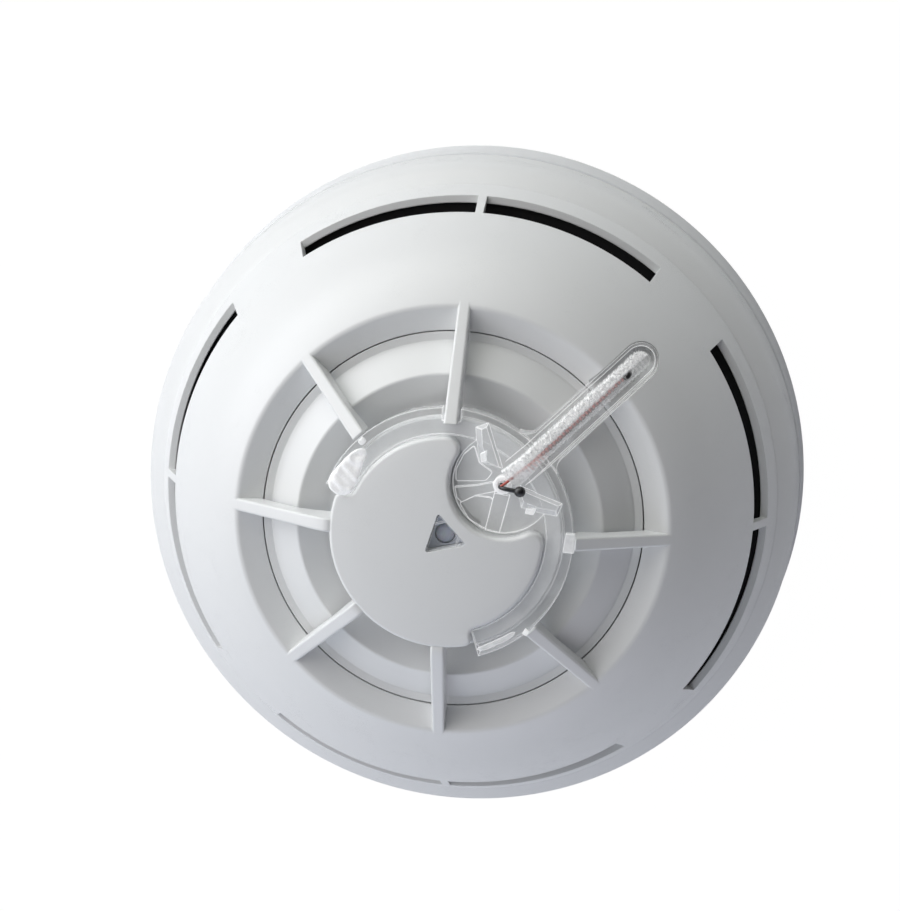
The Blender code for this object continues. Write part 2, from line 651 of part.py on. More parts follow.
# --------------------------------------------------- the strip in the trough
STRIP_START = 14.2
STRIP_STATIONS = (
    STRIP_START, 17.0, 19.0, 20.5, 23.0, 27.0, 31.0, 34.1, 36.5, 38.3, 39.4)
GROOVE_HALF = 0.72       # groove along the underside


def strip_ring(along):
    """Section of the strip: flared near the hub, lower at its outer end."""
    half = 1.5 + 0.3 * max(0.0, (18.0 - along) / (18.0 - STRIP_START))
    taper = 1.0 if along < 38.0 else 0.62
    floor = arm_floor(along)
    foot, roof, shoulder, crown = floor + 0.3, floor + 1.3, floor + 1.7, floor + 2.3 * taper
    return [arm(along, left, z) for left, z in (
        (-half, foot), (-half, shoulder), (-half * 0.45, crown), (half * 0.45, crown),
        (half, shoulder), (half, foot), (GROOVE_HALF, foot), (GROOVE_HALF, roof),
        (-GROOVE_HALF, roof), (-GROOVE_HALF, foot))]


part("lead_strip", loft([strip_ring(along) for along in STRIP_STATIONS]), clear)

# ---------------------------------------------------- the bead and its leads
BEAD_AT = Vector((11.15, 7.95, 55.2))
BEAD_R = 0.85
STEM_ALONG = HUB_R - 0.42
STEM_R = 0.34
LEAD_R = 0.3
RED_R = 0.25


def stem_at(z):
    return arm(STEM_ALONG, z=z)


def wire_at(along):
    """Middle of the lead where it lies in the trough."""
    return arm(along, z=arm_floor(along) + 0.75)


stem = [stem_at(53.2), stem_at(54.5), stem_at(55.1).lerp(BEAD_AT, 0.22),
        stem_at(55.2).lerp(BEAD_AT, 0.6), BEAD_AT]
thermistor = part("thermistor", tube(smooth_path(stem, 3), STEM_R, 12), bead_black)
ball = bmesh.new()
bmesh.ops.create_icosphere(ball, subdivisions=2, radius=BEAD_R,
                           matrix=Matrix.Translation(BEAD_AT))
join(thermistor, ball)

part("lead_black", tube([stem_at(z) for z in (18.9, 30.0, 41.0, 52.9)], LEAD_R), black)

red_path = [arm(12.42, z=54.75), arm(12.6, z=54.3), arm(13.1, z=53.95)]
red_path += [wire_at(along)
             for along in (STRIP_START, 17.0, 18.8, 20.5, 23.0, 27.0, 31.0, 33.2, 34.8)]
part("lead_red", tube(smooth_path(red_path, 2), RED_R, 8), red)

drop_floor = arm_floor(ARM_DROP)
sleeve_path = [wire_at(35.1), wire_at(35.45), arm(35.72, z=arm_floor(35.7) + 0.55)]
sleeve_path += [arm(ARM_DROP, z=z) for z in (drop_floor + 0.05, drop_floor - 1.0, 26.0, PART_Z)]
part("lead_sleeve", tube(sleeve_path, LEAD_R, 8), black)

# ----------------------------------------------------------- window and lamp
SPACER_TOP = 49.1
LED_PROFILE = [
    (0.0, 49.4), (1.75, 49.4), (1.75, 50.1), (1.5, 50.1), (1.5, 51.5), (1.3, 52.3),
    (0.8, 52.85), (0.0, 53.0)]

part("window_lens", prism(triangle(TRI_R - 0.6, 0.25), 53.5, 54.85), clear)
part("status_led", lathe(LED_PROFILE, 16), lamp)
part("led_spacer", lathe(rect(1.7, 2.5, 44.8, SPACER_TOP), 16), natural)
for name, x in (("led_leg_a", -0.9), ("led_leg_b", 0.9)):
    part(name, box(x, 0.0, 0.5, 0.5, PART_Z, SPACER_TOP), tin)

# ----------------------------------------------------- the head turns as one
STAYS = ("mounting_base", "contact_leaf", "clamp_plate", "terminal_screw")

axis = bpy.data.objects.new("head_twist_axis", None)
axis.location = (0, 0, BASE_TOP_Z * MM)
bpy.context.scene.collection.objects.link(axis)
for obj in list(bpy.context.scene.objects):
    if obj is axis or obj.name.startswith(STAYS):
        continue
    obj.parent = axis
    obj.matrix_parent_inverse = Matrix.Translation((0, 0, -BASE_TOP_Z * MM))
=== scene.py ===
"""Surfaces of a round heat detector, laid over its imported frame.

The detector lies on its back: the mounting base starts at z = 0, its axis is +Z and
the sensing end is on top. A clear arm runs outward from the bead's hub, half way
between +X and +Y. Lengths are in millimetres and become metres when a mesh is made;
materials work in metres. "Left" of the arm is seen from above, looking outward.
"""
import math

import bmesh
import bpy
from mathutils import Matrix, Vector, noise
from mathutils.geometry import delaunay_2d_cdt


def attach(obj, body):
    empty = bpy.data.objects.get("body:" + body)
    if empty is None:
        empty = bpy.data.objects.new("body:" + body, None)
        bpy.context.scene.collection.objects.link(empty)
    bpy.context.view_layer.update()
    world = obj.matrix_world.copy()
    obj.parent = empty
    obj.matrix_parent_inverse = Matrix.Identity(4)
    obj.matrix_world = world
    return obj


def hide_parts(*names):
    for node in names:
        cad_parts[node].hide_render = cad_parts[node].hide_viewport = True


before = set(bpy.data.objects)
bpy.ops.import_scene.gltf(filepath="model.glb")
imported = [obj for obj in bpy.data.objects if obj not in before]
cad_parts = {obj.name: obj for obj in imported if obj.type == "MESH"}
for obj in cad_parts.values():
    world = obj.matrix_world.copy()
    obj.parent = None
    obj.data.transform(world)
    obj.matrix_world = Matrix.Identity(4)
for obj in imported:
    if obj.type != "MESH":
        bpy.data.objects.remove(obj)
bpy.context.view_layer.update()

MM = 0.001
SCENE = bpy.context.scene
TURN_STEPS = 256

# cover: the dome's arc has its centre at (DOME_AT_R, DOME_AT_Z) in section
DOME_R, DOME_AT_R, DOME_AT_Z = 35.0, 14.77, 14.81
SLOT_LOW = (48.7, 24.8)
SLOT_HIGH = (46.5, 29.6)
SLOT_HALF_DEG = 36.2
BRIDGE_HALF_DEG = 0.8
CHANNEL_R, CHANNEL_Z = 34.1, 44.0
LEDGE_R, LEDGE_Z = 29.72, 42.9
DISC_R, DISC_EDGE = 17.6, 54.2
DISC_TOP, DISC_CROWN = 54.97, 1.3
RECESS_Z, RECESS_R = 51.8, 15.05
RECESS_DEG = (-72.0, 161.5)
RIB_DEG = (0, 90, 135, 180, 225, 270, 315)
SHORT_RIBS = (0, 135, 315)
COVER_SCREW_DEG, COVER_SCREW_R = (30, 150, 270), 47.4
# arm and the round bay about its hub
ARM_DEG, ARM_AIM = 45.6, 44.1
HUB_R, BAY_R, BAY_DEG = 12.0, 8.1, 45
ARM_HALF, ARM_END, ARM_DROP = 2.85, 37.9, 35.8
ARM_ROOF, ARM_DEPTH = 53.4, 2.1
ROOT_FLOOR, FLOOR_RAMP = 52.9, (17.0, 20.5)
BAY_FLOOR = 52.5
CREASE_PITCH = 0.62
# three-cornered window
TRI_R = 3.75
TRI_DEG = (105, 225, 345)
# mounting base
TWIST_DEG = 20.0
TERMINAL_DEG = (45, 135, 225, 315)
TERMINAL_R = 30.5
BAYONET_DEG = (90, 210, 330)


# ---- geometry
def polar(radius, deg, z=0.0):
    angle = math.radians(deg)
    return Vector((radius * math.cos(angle), radius * math.sin(angle), z))


def arm(reach, side=0.0, z=0.0):
    """Point at a reach along the arm (HUB_R at the hub), offset to the arm's left."""
    ahead = polar(1.0, ARM_AIM)
    left = Vector((-ahead.y, ahead.x, 0))
    return polar(HUB_R, ARM_DEG) + ahead * (reach - HUB_R) + left * side + Vector((0, 0, z))


HUB = arm(HUB_R)
STEM = arm(HUB_R - 0.42)


def fillet(points, per=4, closed=True):
    """Rounds the corners of a 2-D outline. A point is (x, y) or (x, y, radius)."""
    corners = [Vector(point[:2]) for point in points]
    count = len(corners)
    line = []
    for i, corner in enumerate(corners):
        radius = points[i][2] if len(points[i]) > 2 else 0.0
        if radius <= 0 or (not closed and i in (0, count - 1)):
            line.append((corner.x, corner.y))
            continue
        back = corners[i - 1] - corner
        ahead = corners[(i + 1) % count] - corner
        limit = 0.49 * min(back.length, ahead.length)
        back.normalize()
        ahead.normalize()
        turn = math.pi - math.acos(max(-1.0, min(1.0, back.dot(ahead))))
        if turn < 0.01:
            line.append((corner.x, corner.y))
            continue
        trim = min(radius * math.tan(turn / 2), limit)
        radius = trim / math.tan(turn / 2)
        centre = corner + (back + ahead).normalized() * (radius / math.cos(turn / 2))
        spoke = corner + back * trim - centre
        sign = -1 if back.x * ahead.y - back.y * ahead.x > 0 else 1
        steps = max(2, int(round(per * turn / (math.pi / 3))) + 1)
        for k in range(steps + 1):
            angle = sign * turn * k / steps
            cos, sin = math.cos(angle), math.sin(angle)
            line.append((centre.x + spoke.x * cos - spoke.y * sin,
                         centre.y + spoke.x * sin + spoke.y * cos))
    return line


def lathe(profile, steps=TURN_STEPS, centre=(0, 0)):
    """(vertices, faces) of a closed (r, z) profile spun round a vertical axis."""
    verts, rows = [], []
    for radius, z in profile:
        if radius < 1e-6:
            rows.append([len(verts)] * steps)
            verts.append((centre[0], centre[1], z))
            continue
        rows.append(range(len(verts), len(verts) + steps))
        for k in range(steps):
            angle = 2 * math.pi * k / steps
            verts.append((centre[0] + radius * math.cos(angle),
                          centre[1] + radius * math.sin(angle), z))
    faces = []
    for i, row in enumerate(rows):
        above = rows[(i + 1) % len(rows)]
        for k in range(steps):
            j = (k + 1) % steps
            face = list(dict.fromkeys((row[k], row[j], above[j], above[k])))
            if len(face) > 2:
                faces.append(face)
    return verts, faces


def loft(rings):
    verts = [tuple(point) for ring in rings for point in ring]
    count = len(rings[0])
    top = (len(rings) - 1) * count
    faces = []
    for base in range(0, top, count):
        for k in range(count):
            j = (k + 1) % count
            faces.append([base + k, base + j, base + count + j, base + count + k])
    faces.append(list(range(count))[::-1])
    faces.append([top + k for k in range(count)])
    return verts, faces


def prism(points, low, high):
    return loft([[(x, y, z) for x, y in points] for z in (low, high)])


def sector(profile, begin, end, steps):
    """Part turn of an (r, z) profile between two angles in degrees."""
    return loft([[polar(radius, begin + (end - begin) * k / steps, z) for radius, z in profile]
                 for k in range(steps + 1)])


def rect(inner, outer, low, high):
    return [(inner, low), (outer, low), (outer, high), (inner, high)]


def cylinder(radius, low, high, centre=(0, 0), steps=40):
    return prism([(centre[0] + radius * math.cos(2 * math.pi * k / steps),
                   centre[1] + radius * math.sin(2 * math.pi * k / steps))
                  for k in range(steps)], low, high)


def turned(points, deg):
    cos, sin = math.cos(math.radians(deg)), math.sin(math.radians(deg))
    return [(x * cos - y * sin, x * sin + y * cos) for x, y in points]


def block(deg, inner, outer, half, low, high):
    """Box lying along a radius."""
    return prism(turned(rect(inner, outer, -half, half), deg), low, high)


def tube(path, radius, steps=16):
    """Round bar along points. radius is a number or a function of the point's index."""
    points = [Vector(point) for point in path]
    rings, ref = [], None
    for i, point in enumerate(points):
        ahead = (points[min(i + 1, len(points) - 1)] - points[max(i - 1, 0)]).normalized()
        if ref is None:
            ref = ahead.orthogonal().normalized()
        ref = (ref - ahead * ref.dot(ahead)).normalized()
        other = ahead.cross(ref)
        size = radius(i) if callable(radius) else radius
        rings.append([point + size * (math.cos(angle) * ref + math.sin(angle) * other)
                      for angle in (2 * math.pi * k / steps for k in range(steps))])
    return loft(rings)


def smooth_path(points, per=6):
    """Curve through the points, with per steps between neighbours."""
    knots = [Vector(point) for point in points]
    knots = [2 * knots[0] - knots[1]] + knots + [2 * knots[-1] - knots[-2]]
    line = []
    for a, b, c, d in zip(knots, knots[1:], knots[2:], knots[3:]):
        for k in range(per):
            t = k / per
            line.append(0.5 * ((2 * b) + (c - a) * t + (2 * a - 5 * b + 4 * c - d) * t * t
                               + (3 * b - a - 3 * c + d) * t ** 3))
    line.append(knots[-2])
    return line


def together(*solids):
    verts, faces = [], []
    for points, polygons in solids:
        base = len(verts)
        verts += list(points)
        faces += [[base + i for i in face] for face in polygons]
    return verts, faces


def to_mesh(name, solid):
    verts, faces = solid
    bm = bmesh.new()
    made = [bm.verts.new((x * MM, y * MM, z * MM)) for x, y, z in verts]
    for face in faces:
        # a face that repeats another, or one of its own corners, is left out
        try:
            bm.faces.new([made[i] for i in face])
        except ValueError:
            pass
    bmesh.ops.remove_doubles(bm, verts=bm.verts[:], dist=2e-7)
    bmesh.ops.recalc_face_normals(bm, faces=bm.faces[:])
    if bm.calc_volume(signed=True) < 0:
        bmesh.ops.reverse_faces(bm, faces=bm.faces[:])
    mesh = bpy.data.meshes.new(name)
    bm.to_mesh(mesh)
    bm.free()
    return mesh


def piece(name, solid):
    obj = bpy.data.objects.new(name, to_mesh(name, solid))
    SCENE.collection.objects.link(obj)
    return obj


def combine(obj, solid, operation):
    """Joins a solid to obj, or takes it away, for good."""
    helper = piece("helper", solid)
    mod = obj.modifiers.new("combine", "BOOLEAN")
    mod.operation = operation
    mod.solver = "MANIFOLD"
    mod.object = helper
    graph = bpy.context.evaluated_depsgraph_get()
    mesh = bpy.data.meshes.new_from_object(obj.evaluated_get(graph), depsgraph=graph)
    obj.modifiers.clear()
    old = obj.data
    obj.data = mesh
    bpy.data.meshes.remove(old)
    bpy.data.objects.remove(helper, do_unlink=True)


def join(obj, *solids):
    combine(obj, together(*solids), "UNION")


def cut(obj, *solids):
    combine(obj, together(*solids), "DIFFERENCE")


def done(obj, material, replaced=None, body="head", angle=28, weighted=True):
    """Shades obj, gives it its material and puts it on its body."""
    obj.data.name = obj.name
    obj.data.materials.clear()
    obj.data.materials.append(material)
    obj.data.shade_smooth()
    obj.data.set_sharp_from_angle(angle=math.radians(angle))
    if weighted:
        mod = obj.modifiers.new("normals", "WEIGHTED_NORMAL")
        mod.keep_sharp = True
        mod.weight = 60
    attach(obj, body)
    if replaced:
        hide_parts(replaced)


# ---- heights of the surfaces, by radius or by reach along the arm
def dome_z(radius):
    return DOME_AT_Z + math.sqrt(DOME_R ** 2 - (radius - DOME_AT_R) ** 2)


def dome_arc(begin, end, steps, offset=0.0):
    """Section of the dome between two radii, offset outward."""
    size = DOME_R + offset
    first = math.acos((begin - DOME_AT_R) / size)
    last = math.acos((end - DOME_AT_R) / size)
    angles = [first + (last - first) * k / steps for k in range(steps + 1)]
    return [(DOME_AT_R + size * math.cos(angle), DOME_AT_Z + size * math.sin(angle))
            for angle in angles]


def cage_z(radius):
    return CHANNEL_Z + (CHANNEL_R - radius) * (DISC_EDGE - CHANNEL_Z) / (CHANNEL_R - DISC_R)


def disc_z(radius):
    return DISC_TOP - DISC_CROWN * (radius / DISC_R) ** 2


def arm_top(reach):
    if reach >= CHANNEL_R:
        return dome_z(reach) + 0.1
    return min(cage_z(reach) - 0.1, ARM_ROOF)


def arm_floor(reach):
    begin, end = FLOOR_RAMP
    if reach <= begin:
        return ROOT_FLOOR
    if reach >= end:
        return arm_top(reach) - ARM_DEPTH
    share = (reach - begin) / (end - begin)
    return ROOT_FLOOR * (1 - share) + (arm_top(end) - ARM_DEPTH) * share


def arm_under(reach):
    return 52.2 if reach < 18.2 else arm_top(reach) - 2.9


def above_arm(rise):
    return lambda reach: arm_top(reach) + rise


def shelf_top(reach):
    if reach >= CHANNEL_R:
        return dome_z(reach) - 0.6
    return LEDGE_Z + (reach - LEDGE_R) * 0.359 - 0.6


# ---- materials
class Nodes:
    """Short calls for building one material's node tree."""

    def __init__(self, name):
        self.mat = bpy.data.materials.new(name)
        self.mat.use_nodes = True
        self.tree = self.mat.node_tree
        self.tree.nodes.clear()
        self.out = self.tree.nodes.new("ShaderNodeOutputMaterial")

    def new(self, kind, **values):
        """Lower-case names are the node's settings, the others its inputs."""
        node = self.tree.nodes.new("ShaderNode" + kind)
        for key, value in values.items():
            if key.islower():
                setattr(node, key, value)
            else:
                self.put(node.inputs[key.replace("_", " ")], value)
        return node

    def put(self, socket, value):
        if isinstance(value, bpy.types.NodeSocket):
            self.tree.links.new(value, socket)
        elif isinstance(value, tuple) and len(value) == 3 and socket.type == "RGBA":
            socket.default_value = (*value, 1.0)
        else:
            socket.default_value = value

    def math(self, operation, first, second=0.0, third=0.0, clamp=False):
        node = self.new("Math", operation=operation)
        node.use_clamp = clamp
        for socket, value in zip(node.inputs, (first, second, third)):
            self.put(socket, value)
        return node.outputs[0]

    def remap(self, value, to, span=(0.3, 0.7)):
        """Maps a span, by default a noise's usual range, to another."""
        return self.new("MapRange", Value=value, From_Min=span[0], From_Max=span[1],
                        To_Min=to[0], To_Max=to[1]).outputs["Result"]

    def mix(self, factor, first, second):
        node = self.new("Mix", data_type="RGBA", Factor=factor)
        self.put(node.inputs[6], first)
        self.put(node.inputs[7], second)
        return node.outputs[2]

    def mix_shader(self, factor, first, second):
        node = self.new("MixShader")
        for socket, value in zip(node.inputs, (factor, first, second)):
            self.put(socket, value)
        return node.outputs[0]

    def coords(self):
        return self.new("TexCoord").outputs["Object"]

    def noise(self, scale, detail=3.0, rough=0.5, vector=None, distortion=0.0):
        node = self.new("TexNoise", Scale=scale, Detail=detail, Roughness=rough,
                        Distortion=distortion)
        self.put(node.inputs["Vector"], vector if vector is not None else self.coords())
        return node.outputs[0]

    def edge_normal(self, radius, samples=4):
        return self.new("Bevel", samples=samples, Radius=radius).outputs["Normal"]

    def bump(self, height, strength, distance, normal=None):
        node = self.new("Bump", Strength=strength, Distance=distance, Height=height)
        if normal is not None:
            self.put(node.inputs["Normal"], normal)
        return node.outputs["Normal"]

    def surface(self, shader):
        self.tree.links.new(shader, self.out.inputs["Surface"])
        return self.mat

    def principled(self, **values):
        return self.surface(self.new("BsdfPrincipled", **values).outputs[0])


def moulded(name, rgb, rough, grain=0.10, wave=0.10, tint=0.012):
    """Injection-moulded plastic: fine grain, faint flow waves, uneven gloss, soft edges."""
    net = Nodes(name)
    fine = net.noise(9000, detail=4, rough=0.6)
    slow = net.noise(55, detail=2)
    cloud = net.noise(140, detail=4, rough=0.6, distortion=0.4)
    colour = net.mix(net.remap(cloud, to=(0.0, 1.0)), tuple(c * (1 - tint) for c in rgb), rgb)
    gloss = net.math("ADD", net.remap(cloud, to=(rough - 0.012, rough + 0.012)),
                     net.remap(fine, to=(-0.02, 0.02)))
    normal = net.edge_normal(0.00022)
    normal = net.bump(slow, wave, distance=0.0004, normal=normal)
    normal = net.bump(fine, grain, distance=0.00001, normal=normal)
    return net.principled(Base_Color=colour, Roughness=gloss, Normal=normal, IOR=1.5)


def clear_plastic(name, edge=0.00016, edge_highlight_gain=0.85, haze=0.05, slope=0.22, frost=0.0,
                  rough=0.05, zone=None, painted_edge_glow=0.30, painted_body_glow=0.0, flecks=None, blush=None):
    """Thin clear moulding: glossy, milky on its tilted faces, with a painted highlight along its
    edges.

    edge is the width of the painted edge highlight and edge_highlight_gain its whiteness;
    painted_edge_glow is a painted glow (emission) along the edges and painted_body_glow a
    painted glow all over; haze, slope and frost whiten everywhere, on tilts and in crumbs;
    zone and blush build masks for milkiness and red; flecks is the scale of grey grit.
    """
    net = Nodes(name)
    # painted highlight along the edges: rim is high where the bevel normal leans away from the
    # face normal; it whitens the surface here and makes it glow below
    geo = net.new("NewGeometry")
    dot = net.new("VectorMath", operation="DOT_PRODUCT")
    net.put(dot.inputs[0], net.edge_normal(edge, samples=6))
    net.put(dot.inputs[1], geo.outputs["Normal"])
    rim = net.remap(dot.outputs["Value"], to=(0.0, edge_highlight_gain), span=(0.998, 0.88))
    split = net.new("SeparateXYZ", Vector=geo.outputs["True Normal"])
    tilt = net.remap(net.math("ABSOLUTE", split.outputs[2]), to=(0.0, slope), span=(0.985, 0.25))
    cloud = net.noise(260, rough=0.55)
    white = net.math("ADD", net.math("ADD", rim, tilt),
                     net.remap(cloud, to=(haze * 0.6, haze * 1.4)))
    if frost:
        crumbs = net.noise(1500, detail=4, rough=0.7)
        white = net.math("ADD", white,
                         net.remap(crumbs, to=(frost * 0.5, frost), span=(0.35, 0.65)))
    if zone is not None:
        white = net.math("MULTIPLY_ADD", white, 0.5, zone(net))
    white = net.math("ADD", white, 0.0, clamp=True)
    # shadows and bounced light pass more freely than the view does
    path = net.new("LightPath")
    passes = net.math("MAXIMUM", path.outputs["Is Shadow Ray"], path.outputs["Is Diffuse Ray"])
    white = net.math("MULTIPLY", white, net.math("MULTIPLY_ADD", passes, -0.8, 1.0))
    normal = net.bump(net.noise(330, detail=2), strength=0.12, distance=0.00008)
    tone = (0.95, 0.955, 0.96)
    if flecks is not None:
        grit = net.noise(flecks, rough=0.65)
        grey = (0.50, 0.51, 0.52)
        tone = net.mix(net.remap(grit, to=(0.0, 1.0), span=(0.38, 0.53)), grey, tone)
        normal = net.bump(grit, strength=0.7, distance=0.00012, normal=normal)
    if blush is not None:
        red = blush(net)
        tone = net.mix(red, tone, (0.80, 0.30, 0.28))
        white = net.math("MAXIMUM", white, net.math("MULTIPLY", red, 0.75))
    # painted glow: the milky part emits white light, strongest along the edges (painted highlight)
    # and weaker all over
    soft = net.new("BsdfPrincipled", Base_Color=tone, Roughness=0.32, IOR=1.5, Normal=normal,
                   Emission_Color=(1.0, 1.0, 1.0),
                   Emission_Strength=net.math("MULTIPLY_ADD", rim, painted_edge_glow, painted_body_glow))
    passing = net.new("BsdfTransparent", Color=(0.985, 0.988, 0.99))
    body = net.mix_shader(white, passing.outputs[0], soft.outputs[0])
    shine = net.new("BsdfGlossy", Color=(1.0, 1.0, 1.0),
                    Roughness=net.remap(cloud, to=(rough, rough + 0.08)), Normal=normal)
    fresnel = net.new("Fresnel", IOR=1.49, Normal=normal)
    outside = net.math("SUBTRACT", 1.0, geo.outputs["Backfacing"])
    share = net.math("MULTIPLY", fresnel.outputs[0], outside)
    return net.surface(net.mix_shader(share, body, shine.outputs[0]))


def metal(name, rgb, rough):
    net = Nodes(name)
    stretch = net.new("Mapping", Vector=net.coords(), Scale=(1.0, 0.06, 1.0))
    streaks = net.noise(4000, rough=0.6, vector=stretch.outputs[0])
    cloud = net.noise(600, detail=4, rough=0.6)
    colour = net.mix(net.remap(cloud, to=(0, 1), span=(0.35, 0.7)), rgb,
                     tuple(c * 0.82 for c in rgb))
    normal = net.bump(streaks, strength=0.25, distance=0.00001, normal=net.edge_normal(0.00008))
    return net.principled(Base_Color=colour, Metallic=1.0, Normal=normal,
                          Roughness=net.remap(streaks, to=(rough - 0.06, rough + 0.12)))


def glossy_epoxy(name, rgb, rough):
    net = Nodes(name)
    lumps = net.noise(1500)
    fine = net.noise(9000, detail=2)
    normal = net.bump(lumps, strength=0.25, distance=0.00006)
    normal = net.bump(fine, strength=0.08, distance=0.00001, normal=normal)
    return net.principled(Base_Color=net.mix(lumps, rgb, tuple(c * 1.6 + 0.004 for c in rgb)),
                          Roughness=net.remap(lumps, to=(rough, rough + 0.1)),
                          Normal=normal, IOR=1.55)


def sleeving(name, rgb, rough=0.45, creases=None):
    """Fibrous sleeve; creases is the colour of painted shade in its folds along the arm,
    and a painted shadow darkens its right flank.
    """
    net = Nodes(name)
    fibre = net.noise(5200, detail=4, rough=0.7)
    if creases is not None:
        # painted shade: the fold valleys turn towards the creases colour, and a painted shadow
        # darkens the lead's right flank
        along, side = arm_place(net)
        fold_shade_mask = net.math("MULTIPLY", net.remap(bands(net, along), to=(0.0, 1.0), span=(0.75, 0.3)),
                        net.remap(along, to=(0.0, 1.0), span=(0.0035, 0.0085)))
        flank_shade_mask = net.math("MULTIPLY", net.remap(side, to=(0.0, 0.9), span=(-0.00045, -0.0007)),
                         net.remap(along, to=(0.0, 1.0), span=(0.0075, 0.0095)))
        rgb = net.mix(fold_shade_mask, rgb, creases)
        rgb = net.mix(flank_shade_mask, rgb, (0.10, 0.055, 0.05))
    normal = net.bump(fibre, strength=0.4, distance=0.00003)
    return net.principled(
        Base_Color=net.mix(net.remap(fibre, to=(0.25, 0.0)), rgb, (0.02, 0.01, 0.01)),
        Roughness=net.remap(fibre, to=(rough - 0.08, rough + 0.1)), Normal=normal)


def laminate(name):
    """Solder-masked board with faint copper runs under the mask."""
    net = Nodes(name)
    brick = net.new("TexBrick", Vector=net.coords(), offset=0.5, squash=1.0, Scale=260.0,
                    Mortar_Size=0.03, Brick_Width=0.9, Row_Height=0.35)
    tracks = brick.outputs["Fac"]
    weave = net.noise(2600, rough=0.6)
    colour = net.mix(tracks, (0.012, 0.11, 0.045), (0.03, 0.21, 0.09))
    colour = net.mix(net.remap(weave, to=(0.0, 0.25)), colour, (0.02, 0.08, 0.04))
    normal = net.bump(weave, strength=0.2, distance=0.00001)
    normal = net.bump(tracks, strength=0.5, distance=0.00003, normal=normal)
    return net.principled(Base_Color=colour, Roughness=0.33, Normal=normal)


def lamp(name):
    net = Nodes(name)
    swirl = net.noise(900)
    return net.principled(Base_Color=net.mix(swirl, (0.55, 0.59, 0.70), (0.66, 0.70, 0.80)),
                          Roughness=net.remap(swirl, to=(0.14, 0.26)), IOR=1.5,
                          Subsurface_Weight=0.4, Subsurface_Scale=0.0015, Coat_Weight=0.6)


def arm_place(net):
    """Distance from the hub along the arm, and to its left, in metres."""
    split = net.new("SeparateXYZ", Vector=net.coords())
    aim, hub = math.radians(ARM_AIM), polar(HUB_R, ARM_DEG) * MM
    cos, sin = math.cos(aim), math.sin(aim)
    x = net.math("SUBTRACT", split.outputs[0], hub.x)
    y = net.math("SUBTRACT", split.outputs[1], hub.y)
    along = net.math("ADD", net.math("MULTIPLY", x, cos), net.math("MULTIPLY", y, sin))
    side = net.math("SUBTRACT", net.math("MULTIPLY", y, cos), net.math("MULTIPLY", x, sin))
    return along, side


def bands(net, along):
    """0 to 1 and back once every crease along the arm, slightly uneven."""
    drift = net.remap(net.noise(700, detail=2), to=(-0.00012, 0.00012))
    turns = net.math("MULTIPLY", net.math("ADD", along, drift),
                     2 * math.pi / (CREASE_PITCH * MM))
    return net.math("MULTIPLY_ADD", net.math("SINE", turns), 0.5, 0.5)


def rosy_ribs(net):
    """Where the lead's red shows in the strip's ribs near the hub."""
    along, side = arm_place(net)
    lengthwise = net.math("MULTIPLY", net.remap(along, to=(0.0, 1.0), span=(0.0038, 0.0052)),
                          net.remap(along, to=(0.0, 1.0), span=(0.0084, 0.0070)))
    across = net.math("MULTIPLY", net.remap(side, to=(0.0, 1.0), span=(-0.0014, -0.0011)),
                      net.remap(side, to=(0.0, 1.0), span=(0.00015, -0.0001)))
    return net.math("MULTIPLY", net.math("MULTIPLY", lengthwise, across),
                    net.remap(bands(net, along), to=(0.0, 0.55), span=(0.35, 0.75)))


def strip_zone(net):
    """Milky along the strip's left half and its root, nearly clear over the lead."""
    along, side = arm_place(net)
    wander = net.remap(net.noise(800, rough=0.6), to=(-0.0002, 0.0002))
    left = net.remap(net.math("ADD", side, wander), to=(0.06, 0.80), span=(-0.00010, 0.00040))
    right = net.remap(net.math("ADD", side, wander), to=(0.0, 0.22), span=(-0.0010, -0.0014))
    root = net.remap(along, to=(0.0, 0.30), span=(0.0085, 0.0035))
    return net.math("MAXIMUM", net.math("ADD", left, right), root)


white_abs = moulded("white_abs", (0.82, 0.83, 0.832), rough=0.29, wave=0.025, tint=0.005)
dish_abs = moulded("dish_abs", (0.79, 0.80, 0.80), rough=0.33, wave=0.04, tint=0.006)
slate_abs = moulded("slate_abs", (0.72, 0.76, 0.85), rough=0.45, tint=0.08)
base_abs = moulded("base_abs", (0.80, 0.81, 0.825), rough=0.34, wave=0.04, tint=0.006)
black_abs = moulded("black_abs", (0.004, 0.004, 0.005), rough=0.75, grain=0.3, tint=0.2)
# clear mouldings: each has a painted highlight with a painted glow along its edges, and all but
# lens_pc a painted glow all over
clear_pc = clear_plastic("clear_pc", edge=0.00026, edge_highlight_gain=0.9, painted_edge_glow=0.34, haze=0.14,
                         slope=0.36, painted_body_glow=0.06)
frosted_pc = clear_plastic("frosted_pc", rough=0.15, edge_highlight_gain=0.5, haze=0.55, slope=0.3,
                           frost=0.3, painted_body_glow=0.22)
satin_pc = clear_plastic("satin_pc", rough=0.15, edge_highlight_gain=0.6, haze=0.34, slope=0.3,
                         frost=0.12, painted_body_glow=0.12)
lens_pc = clear_plastic("lens_pc", haze=0.04, slope=0.1, edge_highlight_gain=0.6)
crinkled_pc = clear_plastic("crinkled_pc", rough=0.08, edge_highlight_gain=0.25, haze=0.06, slope=0.35,
                            frost=0.1, edge=0.00009, zone=strip_zone, painted_body_glow=0.24,
                            flecks=2300, blush=rosy_ribs)
bead_epoxy = glossy_epoxy("bead_epoxy", (0.010, 0.010, 0.012), rough=0.12)
